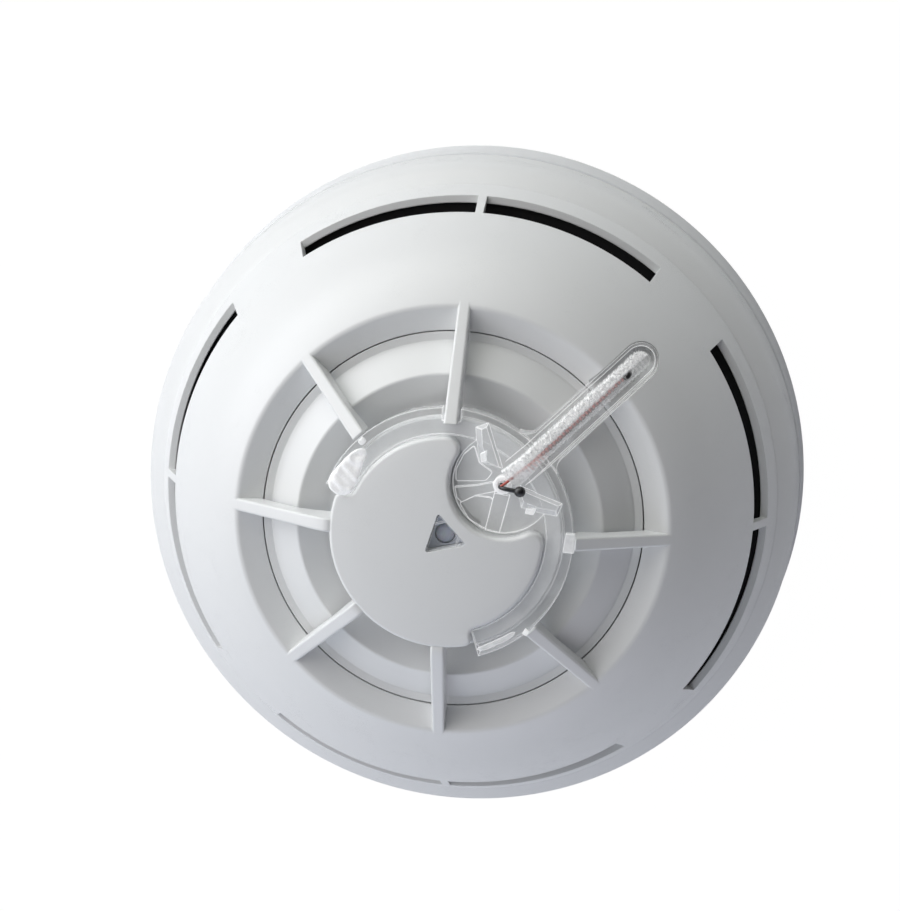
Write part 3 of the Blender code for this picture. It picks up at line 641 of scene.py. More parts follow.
# the creases colour is painted shade in the sleeve's folds
red_sleeving = sleeving("red_sleeving", (0.62, 0.13, 0.10), creases=(0.25, 0.03, 0.025))
black_sleeving = sleeving("black_sleeving", (0.012, 0.012, 0.013), rough=0.4)
board_laminate = laminate("board_laminate")
component_black = moulded("component_black", (0.022, 0.022, 0.024), rough=0.42, grain=0.5,
                          tint=0.25)
capacitor_can = metal("capacitor_can", (0.66, 0.67, 0.69), rough=0.28)
natural_nylon = moulded("natural_nylon", (0.74, 0.71, 0.62), rough=0.42, grain=0.2)
contact_steel = metal("contact_steel", (0.70, 0.69, 0.66), rough=0.22)
zinc_steel = metal("zinc_steel", (0.64, 0.65, 0.67), rough=0.30)
tinned_leg = metal("tinned_leg", (0.74, 0.74, 0.75), rough=0.24)
lamp_epoxy = lamp("lamp_epoxy")


def numbered(stem, count):
    return [f"{stem}_{i}" for i in range(1, count + 1)]


# frame pieces that keep their meshes: slot, material, names
for slot_name, kept_material, names in (
    ("base_abs", base_abs, ["rear_chassis"]),
    ("board_laminate", board_laminate, ["circuit_board"]),
    ("component_black", component_black, ["microcontroller", "rectifier", "surge_diode"]),
    ("capacitor_can", capacitor_can, ["capacitor"]),
    ("natural_nylon", natural_nylon, ["lead_header", "led_spacer"]),
    ("contact_steel", contact_steel, numbered("head_contact", 4) + numbered("contact_leaf", 4)),
    ("zinc_steel", zinc_steel, numbered("board_screw", 3) + numbered("cover_screw", 3)
     + numbered("clamp_plate", 4) + numbered("terminal_screw", 4)),
    ("tinned_leg", tinned_leg, ["led_leg_a", "led_leg_b"]),
):
    for name in names:
        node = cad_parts[name]
        node.data.materials.clear()
        node.data.materials.append(kept_material)

# ---- outer cover. Profile tables are (radius, z) or (radius, z, corner radius).
SKIRT = [(51.95, 8.16), (53.9, 8.16, 0.25), (53.72, 12.4, 6.0), (53.38, 17.97, 4.8),
         (50.42, 20.95, 0.25), (50.12, 21.15, 0.12), (50.08, 21.45, 0.4), SLOT_LOW]
SLOT_BAND = [(49.4, 23.15), SLOT_LOW, (47.6, 27.2)]
THROAT_R = 34.55
THROAT = [(THROAT_R, dome_z(THROAT_R)), (33.62, 44.30, 1.15), (LEDGE_R, LEDGE_Z, 0.12),
          (LEDGE_R, 40.75, 0.1), (33.0, 42.35)]
COVER_INSIDE = [(47.62, 24.6), (48.8, 21.2), (50.2, 19.1), (51.4, 17.2), (51.9, 15.4)]
DISC_BODY = [(0.0, RECESS_Z), (17.5, RECESS_Z), (DISC_R, 51.7), (DISC_R, 48.6), (17.45, 48.4),
             (16.2, 48.4), (16.2, 50.0), (0.0, 50.4)]
PLATE_CORNER, PLATE_NOSE, PLATE_ROUND = 1.25, 1.9, 0.62

cover = piece("cover_moulding", lathe(
    fillet(SKIRT, closed=False)[:-1] + SLOT_BAND + dome_arc(SLOT_HIGH[0], THROAT_R, 26)
    + fillet(THROAT, 6, closed=False)[1:] + dome_arc(33.7, 45.1, 14, offset=-1.5)
    + COVER_INSIDE))
join(cover, lathe(DISC_BODY))


def heading(start, goal):
    return math.degrees(math.atan2(goal.y - start.y, goal.x - start.x))


def plate_outline():
    """Outline of the raised plate: disc edge, recess ends, recess wall and the round bay."""
    points = []

    def arc(centre, radius, begin, end, steps):
        for k in range(steps + 1):
            angle = math.radians(begin + (end - begin) * k / steps)
            points.append(Vector((centre[0] + radius * math.cos(angle),
                                  centre[1] + radius * math.sin(angle))))

    edge, low, high = DISC_R - 0.015, RECESS_DEG[0] + 360, RECESS_DEG[1]
    # each recess end: a convex corner at the disc edge, a concave one at the recess wall
    corner = PLATE_CORNER
    swing = math.degrees(math.asin(corner / (edge - corner)))
    dip = math.degrees(math.asin(corner / (RECESS_R + corner)))
    arc((0, 0), edge, high + swing, low - swing, 90)
    arc(polar(edge - corner, low - swing), corner, low - swing, low + 90, 8)
    arc(polar(RECESS_R + corner, low + dip), corner, low - 90, low - 180 + dip, 8)
    # recess wall up to the bay, rounded nose, bay, rounded nose, recess wall
    nose_r, reach = RECESS_R - PLATE_NOSE, BAY_R + PLATE_NOSE
    spread = math.degrees(math.acos((nose_r * nose_r + HUB_R * HUB_R - reach * reach)
                                    / (2 * nose_r * HUB_R)))
    bay = polar(HUB_R, BAY_DEG)
    first, second = polar(nose_r, BAY_DEG - spread), polar(nose_r, BAY_DEG + spread)
    arc((0, 0), RECESS_R, low - 360 + dip, BAY_DEG - spread, 50)
    arc(first, PLATE_NOSE, BAY_DEG - spread, heading(first, bay), 12)
    arc(bay, BAY_R, heading(bay, first), heading(bay, second) - 360, 44)
    arc(second, PLATE_NOSE, heading(second, bay), BAY_DEG + spread, 12)
    arc((0, 0), RECESS_R, BAY_DEG + spread, high - dip, 46)
    arc(polar(RECESS_R + corner, high - dip), corner, high - dip + 180, high + 90, 8)
    arc(polar(edge - corner, high + swing), corner, high - 90, high + swing, 8)
    clean = []
    for point in points:
        if not clean or (point - clean[-1]).length > 0.02:
            clean.append(point)
    # the last point repeats the first
    clean.pop()
    return clean


def plate():
    """The raised plate with a rounded upper edge and a faintly crowned top."""
    line = plate_outline()
    count = len(line)
    normals = []
    for i in range(count):
        along = (line[(i + 1) % count] - line[i - 1]).normalized()
        normals.append(Vector((-along.y, along.x)))
    rings = [[(point.x, point.y, 50.9) for point in line]]
    for k in range(7):
        angle = math.radians(90 * k / 6)
        inset = PLATE_ROUND * (1 - math.cos(angle))
        sink = PLATE_ROUND * (1 - math.sin(angle))
        ring = []
        for point, normal in zip(line, normals):
            moved = point + normal * inset
            ring.append((moved.x, moved.y, disc_z(point.length) - sink))
        rings.append(ring)
    verts, faces = loft(rings)
    # a triangulated crown takes the place of the flat upper cap
    faces.pop()
    base = len(verts) - count
    rim = [Vector(point[:2]) for point in rings[-1]]
    inside = []
    for i in range(12):
        radius = 1.5 * i
        around = max(6, int(4.2 * radius)) if i else 1
        for k in range(around):
            point = polar(radius, 360 * k / around).to_2d()
            if radius < 16.4 and min((point - other).length for other in rim) > 0.7:
                inside.append(point)
    places, _, polygons, sources = delaunay_2d_cdt(
        rim + inside, [], [list(range(count))], 1, 1e-5)[:4]
    index = []
    for place, source in zip(places, sources):
        if source and source[0] < count:
            index.append(base + source[0])
        else:
            index.append(len(verts))
            verts.append((place.x, place.y, disc_z(place.length)))
    faces += [[index[i] for i in polygon] for polygon in polygons]
    return verts, faces


join(cover, plate())


def rib(deg):
    """Cage rib from the dome to the disc."""
    # radius, top z, bottom z
    stations = [
        (34.9, dome_z(34.9) - 0.1, 42.4), (34.2, cage_z(34.2) + 0.02, 42.4),
        (33.4, cage_z(33.4), 42.6), (31.2, cage_z(31.2), 42.1), (30.2, cage_z(30.2), 42.9),
        (29.0, cage_z(29.0), 43.8), (23.5, cage_z(23.5), 47.6), (20.4, cage_z(20.4), 48.35)]
    if deg in SHORT_RIBS:
        stations += [(19.95, cage_z(19.95), 48.45), (19.62, cage_z(19.62) - 0.35, 48.5)]
    elif deg == 90:
        stations += [(17.2, cage_z(17.2) - 0.1, 48.6)]
    else:
        stations += [(18.6, cage_z(18.6) - 0.08, 48.5), (17.75, 53.55, 48.6), (16.9, 53.3, 48.6)]
    angle = math.radians(deg)
    across = Vector((-math.sin(angle), math.cos(angle), 0))
    rings = []
    for radius, top, bottom in stations:
        half = 1.13 - 0.13 * (radius - 17.2) / 17.7
        section = fillet([(-half, bottom), (half, bottom),
                          (half - 0.04, top, 0.42), (-half + 0.04, top, 0.42)])
        rings.append([polar(radius, deg, z) + across * side for side, z in section])
    return loft(rings)


join(cover, *[rib(deg) for deg in RIB_DEG])
# screw bosses, their webs to the skirt and their holes
BOSSES = [polar(COVER_SCREW_R, deg) for deg in COVER_SCREW_DEG]
join(cover, *[cylinder(2.4, 12.8, 21.0, boss, 32) for boss in BOSSES])
join(cover, *[block(deg, 48.6, 52.7, 1.0, low=12.9, high=16.9) for deg in COVER_SCREW_DEG])
cut(cover, *[cylinder(1.3, 12.0, 19.0, boss, 24) for boss in BOSSES])
# four wide slots round the dome's foot, each split by a thin bridge
cut(cover, *[sector(rect(43.9, 53.0, SLOT_LOW[1], SLOT_HIGH[1]), middle + begin, middle + end, 26)
             for middle in (0, 90, 180, 270)
             for begin, end in ((-SLOT_HALF_DEG, -BRIDGE_HALF_DEG),
                                (BRIDGE_HALF_DEG, SLOT_HALF_DEG))])


def triangle(size, corner):
    """Triangle with rounded corners."""
    points = []
    for deg in TRI_DEG:
        centre = polar(size - 2 * corner, deg)
        for k in range(7):
            point = centre + polar(corner, deg - 60 + 120 * k / 6)
            points.append((point.x, point.y))
    return points


cut(cover, prism(triangle(TRI_R, 0.3), 49.0, 62.0))
cut(cover, cylinder(0.33, 49.0, 63.0, STEM, 32))
# shallow moat along the side of the bay nearest the axis
cut(cover, loft([[(HUB.x + radius * math.cos(math.radians(deg)),
                   HUB.y + radius * math.sin(math.radians(deg)), z)
                  for radius, z in rect(7.15, 8.02, 50.75, 52.4)] for deg in range(148, 246, 6)]))

BEAM_STATIONS = (18.0, 18.3, 20.0, 22.0, 24.0, 26.0, 28.0, 30.0, 31.5, 33.0, 34.1, 35.2,
                 36.5, 37.8)


def arm_beam(half, begin, end, top, bottom, flare=0.0):
    """Round-ended beam along the arm; top and bottom are functions of the reach."""
    stations = [begin, *BEAM_STATIONS]
    if flare:
        stations += [begin + 0.25 * k for k in range(1, 9)]
    stations = sorted(set(reach for reach in stations if begin <= reach < end)) + [end]
    stations += [end + half * math.sin(math.radians(deg))
                 for deg in (10, 20, 30, 40, 50, 60, 70, 79, 86)]
    rings = []
    for reach in stations:
        side = half if reach <= end else math.sqrt(max(half ** 2 - (reach - end) ** 2, 0.02))
        side += flare * max(0.0, 1 - (reach - begin) / 2.0) ** 2.2
        low, high = bottom(reach), top(reach)
        rings.append([arm(reach, -side, low), arm(reach, side, low),
                      arm(reach, side, high), arm(reach, -side, high)])
    return loft(rings)


# closed pocket in the dome for the arm's outer end
join(cover, arm_beam(ARM_HALF + 1.35, 30.8, ARM_END, top=shelf_top, bottom=above_arm(-4.4)))
cut(cover, arm_beam(ARM_HALF + 0.09, 29.0, ARM_END, top=above_arm(8.0), bottom=above_arm(-3.0)))
done(cover, white_abs, "outer_cover")

# ---- inner dish
DISH = [(29.54, 36.5), (29.54, 42.82, 0.10), (28.25, 42.86, 0.12), (28.0, 43.2, 0.3),
        (23.6, 46.95, 0.55), (18.9, 45.2, 2.0), (12.0, 44.6), (2.0, 44.5), (2.0, 43.3),
        (12.0, 43.4), (18.6, 44.0), (23.2, 45.4), (27.6, 41.4), (28.0, 40.4), (28.0, 36.5)]
dish = piece("dish_moulding", lathe(fillet(DISH, 5)))
cut(dish, cylinder(1.0, 42.0, 46.0, HUB))
done(dish, dish_abs, "inner_dish")

# ---- mounting base
BASE = [(11.0, 0.0, 0.2), (54.3, 0.0, 0.15), (54.78, 0.7, 0.4), (54.78, 1.5, 0.5),
        (54.45, 3.2, 3.0), (54.25, 5.2, 6.0), (54.15, 8.0, 0.3), (52.4, 8.0, 0.15),
        (52.4, 2.2, 0.4), (11.0, 2.2, 0.2)]
base = piece("base_moulding", lathe(fillet(BASE)))
# inner wall, the bayonet tabs on it and the terminal pads
join(base, lathe(rect(47.2, 48.8, 1.6, 7.6), 192))
join(base, *[sector(rect(44.2, 47.6, 5.8, 7.2), deg - TWIST_DEG / 2, deg + TWIST_DEG / 2, 14)
             for deg in BAYONET_DEG])
join(base, *[block(deg, 25.6, 35.2, 4.6, low=1.6, high=3.0) for deg in TERMINAL_DEG])
cut(base, *[cylinder(2.0, 0.6, 4.0, polar(TERMINAL_R, deg)) for deg in TERMINAL_DEG])


def slot_hole(deg, inner, outer, half, low, high):
    """Round-ended slot along a radius; inner and outer are its end centres."""
    points = []
    for centre, turn in ((outer, -90), (inner, 90)):
        for k in range(15):
            angle = math.radians(turn + 180 * k / 14)
            points.append((centre + half * math.cos(angle), half * math.sin(angle)))
    return prism(turned(points, deg), low, high)


cut(base, *[slot_hole(deg, 24.0, 34.0, 2.3, low=-1.0, high=3.0) for deg in (0, 180)])
done(base, base_abs, "mounting_base", body="base")

# ---- clear guard: a ring in the recess, the bay's floor and the arm's trough
GUARD_RING = [(15.35, 52.1, 0.08), (15.35, 53.4, 0.12), (19.48, 53.4, 0.14),
              (19.48, 50.6, 0.12), (17.95, 50.6, 0.08), (17.95, 52.1, 0.1)]
# low steps and flat fins on the bay's floor: (x, y) or (x, y, corner radius)
STEP_FAR = [(1.25, 8.4, 0.4), (5.8, 8.8, 0.9), (6.7, 10.2, 0.4), (4.6, 11.5, 0.3),
            (3.7, 14.1, 0.3), (2.2, 12.6, 0.5), (1.15, 10.2, 0.5)]
STEP_NEAR = [(4.4, 6.4, 0.3), (7.0, 6.3, 0.6), (7.0, 4.6, 0.4), (6.1, 1.5, 0.3),
             (3.6, 2.7, 0.5), (1.9, 5.2, 0.5)]
FIN_TALL = [(7.2, 7.2), (6.15, 1.35), (8.3, 1.05), (9.5, 6.9)]
FIN_LOW = [(7.4, 8.9), (4.4, 8.05), (1.15, 7.55), (1.55, 5.95), (2.3, 5.3), (4.4, 6.5),
           (7.2, 7.3)]
# vane left of the arm: foot and ridge outlines
VANE = ([(8.1, 10.9), (5.65, 17.7), (3.75, 16.9), (4.15, 14.1), (4.75, 11.5)],
        [(7.75, 11.25), (5.5, 17.2), (4.75, 16.85), (5.1, 14.2), (5.95, 11.9)])

guard = piece("guard_moulding", sector(fillet(GUARD_RING, 3), RECESS_DEG[0] + 0.9,
                                       RECESS_DEG[1] - 0.9, 150))
join(guard, cylinder(BAY_R - 0.4, 52.15, 52.9, HUB, 96))
join(guard, arm_beam(2.2, 16.4, 18.6, top=lambda reach: 53.1, bottom=arm_under))
join(guard, arm_beam(ARM_HALF, 18.9, ARM_END, top=arm_top,
                     bottom=lambda reach: arm_under(max(reach, 19.6)), flare=1.6))
for outline, top in ((fillet(STEP_FAR), 53.25), (fillet(STEP_NEAR), 53.25),
                     (FIN_TALL, 53.75), (FIN_LOW, 53.6)):
    join(guard, prism(outline, BAY_FLOOR, top))


def vane(foot, ridge):
    """Straight walls, then a roof that leans to a narrow ridge."""
    return loft([[(x, y, z) for x, y in outline]
                 for outline, z in ((foot, BAY_FLOOR), (foot, 53.45), (ridge, 54.5))])


def mirrored(points):
    """The same points on the arm's other side."""
    angle = math.radians(2 * (ARM_DEG + 0.4))
    cos, sin = math.cos(angle), math.sin(angle)
    return [(x * cos + y * sin, x * sin - y * cos) for x, y in points]


join(guard, vane(*VANE))
join(guard, vane(mirrored(VANE[0]), mirrored(VANE[1])))
# trough, hub bore, stem hole, gap for the rib at 90 degrees, lead hole
cut(guard, arm_beam(ARM_HALF - 0.52, 14.2, ARM_END, top=above_arm(8.0), bottom=arm_floor))
cut(guard, cylinder(1.46, 53.0, 60.0, HUB))
cut(guard, cylinder(0.38, 50.0, 60.0, STEM, 32))
cut(guard, block(90, 17.5, 21.0, 1.4, low=49.0, high=62.0))
cut(guard, cylinder(0.6, 30.0, 50.0, arm(ARM_DROP), 20))
done(guard, clear_pc, "sensor_guard", angle=9, weighted=False)

# ---- the hub's rim, slotted for the red lead
HUB_RIM = [(0.62, 53.02), (1.42, 53.02), (1.42, 54.45, 0.3), (0.62, 54.45, 0.25)]
hub_rim = piece("hub_rim", lathe(fillet(HUB_RIM), 64, HUB))
cut(hub_rim, block(ARM_DEG, HUB_R, HUB_R + 2.4, 0.42, low=53.5, high=61.0))
cut(hub_rim, cylinder(0.38, 50.0, 60.0, STEM, 32))
done(hub_rim, frosted_pc, angle=40)


# ---- frosted pads and lobes
def pad(name, points, low, high, material=frosted_pc):
    """A small block with softened top edges."""
    middle = sum((Vector(point) for point in points), Vector((0, 0))) / len(points)
    line = fillet([(*point, 0.12) for point in points], 3)
    rings = [[(x, y, z) for x, y in line] for z in (low, high - 0.1)]
    for share, z in ((0.975, high - 0.03), (0.93, high)):
        rings.append([(middle.x + (x - middle.x) * share, middle.y + (y - middle.y) * share, z)
                      for x, y in line])
    done(piece(name, loft(rings)), material, angle=40)


FACET = [(4.75, 13.1), (5.75, 13.6), (5.75, 12.0), (4.95, 11.8)]
pad("vane_pad_left", FACET, 53.3, 54.35)
pad("vane_pad_right", [(x + 0.35, y - 0.9) for x, y in mirrored(FACET)[::-1]], 53.3, 54.2)
RING_TOP = 53.42
pad("snap_tab_right", [(18.05, -1.05), (19.75, -1.05), (19.75, 1.95), (18.35, 1.95)],
    RING_TOP, 54.3, satin_pc)
pad("snap_tab_low", [(12.75, -14.2), (13.45, -14.5), (13.8, -13.7), (13.2, -13.3)],
    RING_TOP, 53.9)


def lobe(name, begin, end, inner, outer, top, wobble, material=frosted_pc):
    """A swollen part of the ring, thickest in its middle.

    inner, outer and top are functions of the share of the way from begin to end.
    """
    rings = []
    for k in range(31):
        share = k / 30
        deg = begin + (end - begin) * share
        swell = math.sqrt(max(0.0, 1 - abs(2 * share - 1) ** 5))
        middle = 0.5 * (inner(share) + outer(share))
        middle += 0.1 * noise.noise(Vector((share * 3.0, 7.0, 1.0)))
        half = 0.5 * (outer(share) - inner(share)) * max(0.12, swell)
        ring = []
        for j in range(20):
            angle = 2 * math.pi * j / 20
            # a power below 1 squares the round section
            across, rise = (math.copysign(abs(part) ** 0.75, part)
                            for part in (math.cos(angle), math.sin(angle)))
            point = polar(middle + half * across, deg)
            z = (top(share) + RING_TOP) / 2
            z += rise * (top(share) - RING_TOP) / 2 * max(0.3, swell)
            z += wobble * max(0.0, rise) * noise.noise(Vector((point.x * 1.1, point.y * 1.1, 2.0)))
            ring.append((point.x, point.y, z))
        rings.append(ring)
    done(piece(name, loft(rings)), material, angle=60, weighted=False)


lobe("ring_lobe_left", 136.0, 163.0, inner=lambda share: 16.7 - 1.4 * min(1.0, share * 1.6),
     outer=lambda share: 18.5 + 0.95 * min(1.0, share * 1.3),
     top=lambda share: 54.1 + 0.4 * share, wobble=0.5)
lobe("ring_post", 132.7, 136.3, inner=lambda share: 18.35, outer=lambda share: 19.35,
     top=lambda share: 54.0, wobble=0.05)
lobe("ring_lobe_low", -70.6, -50.5, inner=lambda share: 17.9, outer=lambda share: 18.75,
     top=lambda share: 53.68, wobble=0.12, material=satin_pc)

# ---- black liner behind the cover's slots
LINER = [(42.4, 10.6), (43.6, 10.6, 0.1), (43.6, 22.4, 0.2), (47.55, 23.2, 0.1),
         (47.45, 23.8, 0.1), (44.2, 23.4, 0.4), (43.7, 28.8, 0.3), (42.6, 31.0, 0.5),
         (37.4, 35.0, 1.0), (26.5, 36.2, 0.1), (26.5, 35.0, 0.1), (36.9, 33.8, 1.0),
         (41.6, 30.2, 0.5), (42.4, 28.5, 0.2)]
liner = piece("slot_liner", lathe(fillet(LINER, 3)))
cut(liner, cylinder(1.0, 30.0, 40.0, arm(ARM_DROP), 32))
done(liner, black_abs, "chamber_liner")

# ---- ribbed strip
STRIP_BEGIN, STRIP_END, STRIP_STEPS = 13.3, 39.4, 460
CRUMPLE = 4.4


def strip_mesh():
    """Crumpled left half, smooth middle, scalloped right half; a groove under the lead."""
    rings = []
    for k in range(STRIP_STEPS + 1):
        reach = STRIP_BEGIN + (STRIP_END - STRIP_BEGIN) * k / STRIP_STEPS
        floor = arm_floor(reach)
        grow = max(0.0, min(1.0, (reach - 15.5) / 3.0))
        close = max(0.0, (reach - 38.0) / 1.4)
        half = 1.5 + 0.28 * max(0.0, (18.0 - reach) / 3.8)
        half *= math.sqrt(max(0.06, 1 - close ** 2))
        taper = 1.0 - 0.35 * max(0.0, min(1.0, (reach - 36.0) / 3.0))
        shift = 0.12 * grow - 0.25 * close

        def crumple(side):
            along, across = reach * CRUMPLE, side * CRUMPLE
            coarse = noise.noise(Vector((along, across * 0.7, 0.0)))
            fine = noise.noise(Vector((along * 1.9, across * 1.5, 5.0)))
            return (1.1 * abs(coarse) + 0.6 * fine) * (0.3 + 0.7 * grow)

        drift = 0.12 * noise.noise(Vector((reach * 1.3, 0.0, 3.0)))
        wave = math.sin(2 * math.pi * (reach + drift) / CREASE_PITCH)
        left = half + 0.34 * crumple(3.0) - 0.12
        right = (half + 0.07 * grow * wave
                 + 0.05 * noise.noise(Vector((reach * 2.0, 9.7, 4.0))))
        groove_left = min(0.62, 0.5 * half)
        groove_right = min(1.22, 0.8 * half)
        # (side, z) round the section, from the right foot over the top and back underneath
        section = [(-right, floor + 0.35), (-right, floor + 1.0),
                   (-right + 0.14, floor + 1.4 * taper),
                   (-half * 0.72, floor + (1.62 + 0.07 * grow * wave) * taper),
                   (-half * 0.42, floor + (1.8 + 0.10 * grow * wave) * taper),
                   (-half * 0.16, floor + (1.92 + 0.08 * grow * wave) * taper),
                   (0.0, floor + 1.98 * taper)]
        for share in (0.12, 0.27, 0.42, 0.57, 0.72, 0.86):
            rise = 2.0 + 0.12 * math.sin(math.pi * share)
            section.append((half * share, floor + (rise + 0.5 * crumple(share * 1.5)) * taper))
        section += [(left, floor + (1.5 + 0.2 * crumple(2.0)) * taper),
                    (left + 0.02, floor + 0.9), (left, floor + 0.35),
                    (groove_left, floor + 0.35), (groove_left, floor + 1.15 * taper),
                    (groove_left - 0.1, floor + 1.25 * taper),
                    (-groove_right + 0.1, floor + 1.25 * taper),
                    (-groove_right, floor + 1.15 * taper), (-groove_right, floor + 0.35)]
        rings.append([arm(reach, side + shift, z) for side, z in section])
    return loft(rings)


strip = piece("ribbed_strip", strip_mesh())
done(strip, crinkled_pc, "lead_strip", angle=50, weighted=False)

# ---- bead and stem
BEAD = Vector((11.15, 7.95, 55.2))
BEAD_R = 0.83
stem_line = smooth_path([(STEM.x, STEM.y, 53.2), (STEM.x, STEM.y, 54.5),
                         Vector((STEM.x, STEM.y, 55.1)).lerp(BEAD, 0.22),
                         Vector((STEM.x, STEM.y, 55.2)).lerp(BEAD, 0.6), BEAD], 8)
bead = piece("bead_and_stem", tube(stem_line, lambda i: 0.30 + 0.05 * (i / len(stem_line)), 24))


def ball():
    """A slightly uneven ball, drawn out towards the stem."""
    sphere = bmesh.new()
    bmesh.ops.create_uvsphere(sphere, u_segments=48, v_segments=32, radius=1.0)
    ahead = (BEAD - stem_line[-6]).normalized()
    verts = []
    for vert in sphere.verts:
        along = vert.co.dot(ahead)
        point = vert.co * BEAD_R - ahead * (0.10 * max(0.0, -along) ** 2)
        point += vert.co * 0.012 * noise.noise(vert.co * 1.4)
        verts.append(tuple(BEAD + point))
    faces = [[vert.index for vert in face.verts] for face in sphere.faces]
    sphere.free()
    return verts, faces


join(bead, ball())
done(bead, bead_epoxy, "thermistor", angle=50, weighted=False)

# ---- leads
black_lead = piece("hub_lead_black", tube([(STEM.x, STEM.y, z)
                                           for z in (18.9, 25, 30, 36, 41, 47, 52.9)], 0.3))
done(black_lead, black_sleeving, "lead_black", weighted=False)


def wire(reach, side, rise=0.0):
    return arm(reach, side, arm_floor(reach) + 0.75 + rise)


# (reach, side) where the red lead lies in the trough
RED_RUN = [(14.6, -0.15), (17.0, -0.25), (18.8, -0.38), (20.5, -0.45), (23.0, -0.45),
           (27.0, -0.42), (31.0, -0.3), (33.2, -0.2), (34.85, -0.15)]
red_line = smooth_path([arm(11.75, 0.05, 54.85), arm(12.6, -0.02, 54.75), arm(13.5, -0.1, 54.35)]
                       + [wire(reach, side) for reach, side in RED_RUN], 26)


def red_radius(i):
    """Thin near the bead, then a sleeve with uneven creases."""
    reach = (red_line[i] - HUB).to_2d().length + HUB_R
    share = min(1.0, max(0.0, (reach - 18.0) / 2.5))
    drift = 0.15 * noise.noise(Vector((reach * 1.1, 0.0, 0.0)))
    crease = 0.09 * math.sin(2 * math.pi * (reach + drift) / CREASE_PITCH)
    return 0.2 + share * (0.15 + crease)


red = piece("lead_red_sleeve", tube(red_line, red_radius, 18))
done(red, red_sleeving, "lead_red", weighted=False)

drop = arm(ARM_DROP, -0.1)
drop_floor = arm_floor(ARM_DROP)
sleeve_line = smooth_path([wire(34.95, -0.3, 0.25), wire(35.25, -0.3, 0.62),
                           wire(35.55, -0.25, 0.6), arm(35.78, -0.15, arm_floor(35.7) + 0.55)]
                          + [(drop.x, drop.y, z)
                             for z in (drop_floor - 0.3, drop_floor - 1.2, 26.0, 15.9)])
sleeve = piece("lead_sleeve_black", tube(
    sleeve_line, lambda i: max(0.3, 0.52 - 0.05 * max(0, i - 15))))
done(sleeve, black_sleeving, "lead_sleeve", weighted=False)

# ---- window and lamp
lens = piece("window_prism", prism(triangle(TRI_R - 0.3, 0.26), 53.5, 54.7))
for deg in (105, 345):
    join(lens, block(deg, 2.12, 2.36, 0.82, low=54.5, high=54.86))
done(lens, lens_pc, "window_lens")

surround = piece("lamp_surround", prism(triangle(TRI_R - 0.14, 0.26), 50.75, 52.2))
cut(surround, cylinder(1.8, 50.0, 51.2, steps=48))
cut(surround, cylinder(1.56, 50.0, 53.0, steps=48))
done(surround, slate_abs)

LED_R, LED_SHOULDER = 1.5, 51.5
led = piece("indicator_dome", lathe(
    [(0.0, 49.4), (1.75, 49.4), (1.75, 50.1), (LED_R, 50.1), (LED_R, LED_SHOULDER)]
    + [(LED_R * math.cos(math.radians(deg)), LED_SHOULDER + 1.48 * math.sin(math.radians(deg)))
       for deg in range(6, 90, 6)] + [(0.0, 52.98)], 64))
done(led, lamp_epoxy, "status_led", weighted=False)

# ---- floor, open under the base
FLOOR_HOLE_R, FLOOR_R, FLOOR_Z, FLOOR_STEPS = 53.8, 4000.0, -0.2, 96
SCENE.view_settings.view_transform = "Standard"
SCENE.view_settings.look = "None"
floor_mesh = bpy.data.meshes.new("floor")
floor_points = [polar(radius * MM, 360 * k / FLOOR_STEPS, FLOOR_Z * MM)
                for radius in (FLOOR_HOLE_R, FLOOR_R) for k in range(FLOOR_STEPS)]
floor_mesh.from_pydata(floor_points, [], [
    (k, FLOOR_STEPS + k, FLOOR_STEPS + (k + 1) % FLOOR_STEPS, (k + 1) % FLOOR_STEPS)
    for k in range(FLOOR_STEPS)])
floor = bpy.data.objects.new("floor", floor_mesh)
SCENE.collection.objects.link(floor)


def floor_paper(name):
    """Paper that looks nearly pure white to the camera and is clear from below."""
    net = Nodes(name)
    grain = net.noise(40)
    paper = net.new("BsdfPrincipled", Roughness=0.8,
                    Base_Color=net.mix(grain, (0.85, 0.86, 0.87), (0.87, 0.88, 0.89)))
    seen = net.new("Emission", Color=(1.0, 1.0, 1.0), Strength=1.03)
    path = net.new("LightPath")
    above = net.mix_shader(net.math("MULTIPLY", path.outputs["Is Camera Ray"], 0.96),
                           paper.outputs[0], seen.outputs[0])
    behind = net.new("BsdfTransparent")
    return net.surface(net.mix_shader(net.new("NewGeometry").outputs["Backfacing"], above,
                                      behind.outputs[0]))


floor_mesh.materials.append(floor_paper("floor"))

# ---- soft studio lights in the world: azimuth, elevation (degrees), colour
STUDIO = (
    (112, 8, (2.20, 2.24, 2.13)),
    (158, 8, (3.20, 3.28, 3.46)),
    (248, 8, (0.56, 0.66, 0.79)),
    (292, 8, (1.12, 1.08, 1.21)),
    (180, 38, (0.22, 0.12, 0.05)),
    (240, 38, (0.45, 0.51, 0.54)),
)
# how quickly a light fades away from its centre, and the fill from below
LIGHT_FOCUS, FILL = 6.0, 0.9
world = bpy.data.worlds.new("studio")
SCENE.world = world
world.use_nodes = True
world_tree = world.node_tree
world_tree.nodes.clear()


def world_node(kind, *values, **options):
    node = world_tree.nodes.new("ShaderNode" + kind)
    for key, value in options.items():
        setattr(node, key, value)
    for socket, value in zip(node.inputs, values):
        if isinstance(value, bpy.types.NodeSocket):
            world_tree.links.new(value, socket)
        else:
            socket.default_value = value
    return node


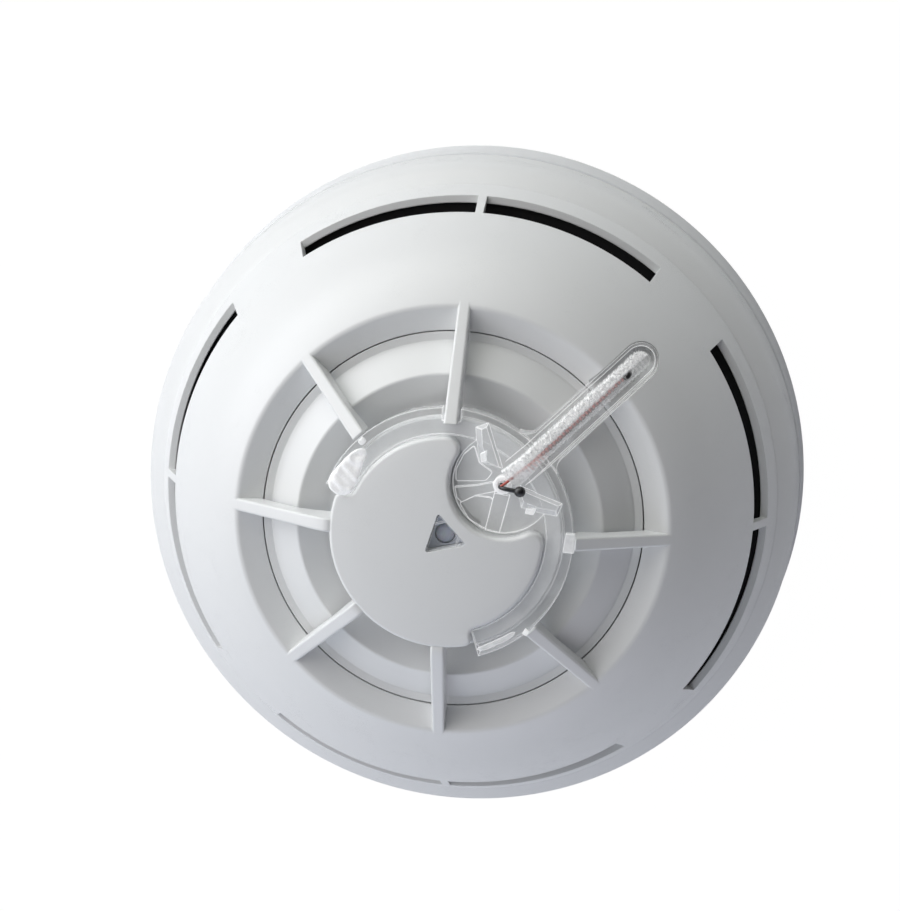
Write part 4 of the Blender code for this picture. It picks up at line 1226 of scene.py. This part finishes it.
way = world_node("TexCoord").outputs["Generated"]
total = None
for azimuth, elevation, colour in STUDIO:
    tilt = math.radians(elevation)
    centre = tuple(polar(math.cos(tilt), azimuth, math.sin(tilt)))
    facing = world_node("VectorMath", way, centre, operation="DOT_PRODUCT").outputs["Value"]
    power = world_node("Math", facing, LIGHT_FOCUS, -LIGHT_FOCUS,
                       operation="MULTIPLY_ADD").outputs[0]
    fall = world_node("Math", power, operation="EXPONENT").outputs[0]
    tinted = world_node("VectorMath", colour, operation="SCALE")
    world_tree.links.new(fall, tinted.inputs["Scale"])
    light = tinted.outputs[0]
    if total is not None:
        light = world_node("VectorMath", total, light, operation="ADD").outputs[0]
    total = light
# soft fill for views from below; the floor keeps it off everything above
height = world_node("SeparateXYZ", way).outputs[2]
fill = world_node("Math", height, -FILL, operation="MULTIPLY", use_clamp=True).outputs[0]
fill_rgb = world_node("CombineXYZ", fill, fill, fill).outputs[0]
total = world_node("VectorMath", total, fill_rgb, operation="ADD").outputs[0]
sky = world_node("Background", total, 1.0)
world_tree.links.new(sky.outputs[0], world_node("OutputWorld").inputs["Surface"])

# ---- camera
# The product's axes as the camera sees them, with x right, y down and z away from it.
AXIS_HEADING, AXIS_TILT = 2.11068264, 0.21893373  # radians, of the product's +Z
VIEW_ROLL = math.radians(-3.45)
# where the axis point at z = AIM_Z stands in the camera's view
AIM_Z, AIM_PLACE = 1.0, Vector((4.9697, 2.2324, 450.0))
axis_z = Vector((math.sin(AXIS_TILT) * math.cos(AXIS_HEADING),
                 math.sin(AXIS_TILT) * math.sin(AXIS_HEADING), -math.cos(AXIS_TILT)))
level = (Vector((1, 0, 0)) - axis_z * axis_z.x).normalized()
axis_x = level * math.cos(VIEW_ROLL) + axis_z.cross(level) * math.sin(VIEW_ROLL)
axes = (axis_x, axis_z.cross(axis_x), axis_z)
origin = AIM_PLACE - axis_z * AIM_Z
place = -Vector([axis.dot(origin) for axis in axes])

cam_data = bpy.data.cameras.new("camera")
cam_data.sensor_width = 36.0
cam_data.lens = 104.432799
cam_data.clip_start = 0.01
cam_data.clip_end = 20.0
cam = bpy.data.objects.new("camera", cam_data)
SCENE.collection.objects.link(cam)
SCENE.camera = cam
cam.matrix_world = Matrix([(axis.x, -axis.y, -axis.z, part * MM)
                           for axis, part in zip(axes, place)] + [(0, 0, 0, 1)])
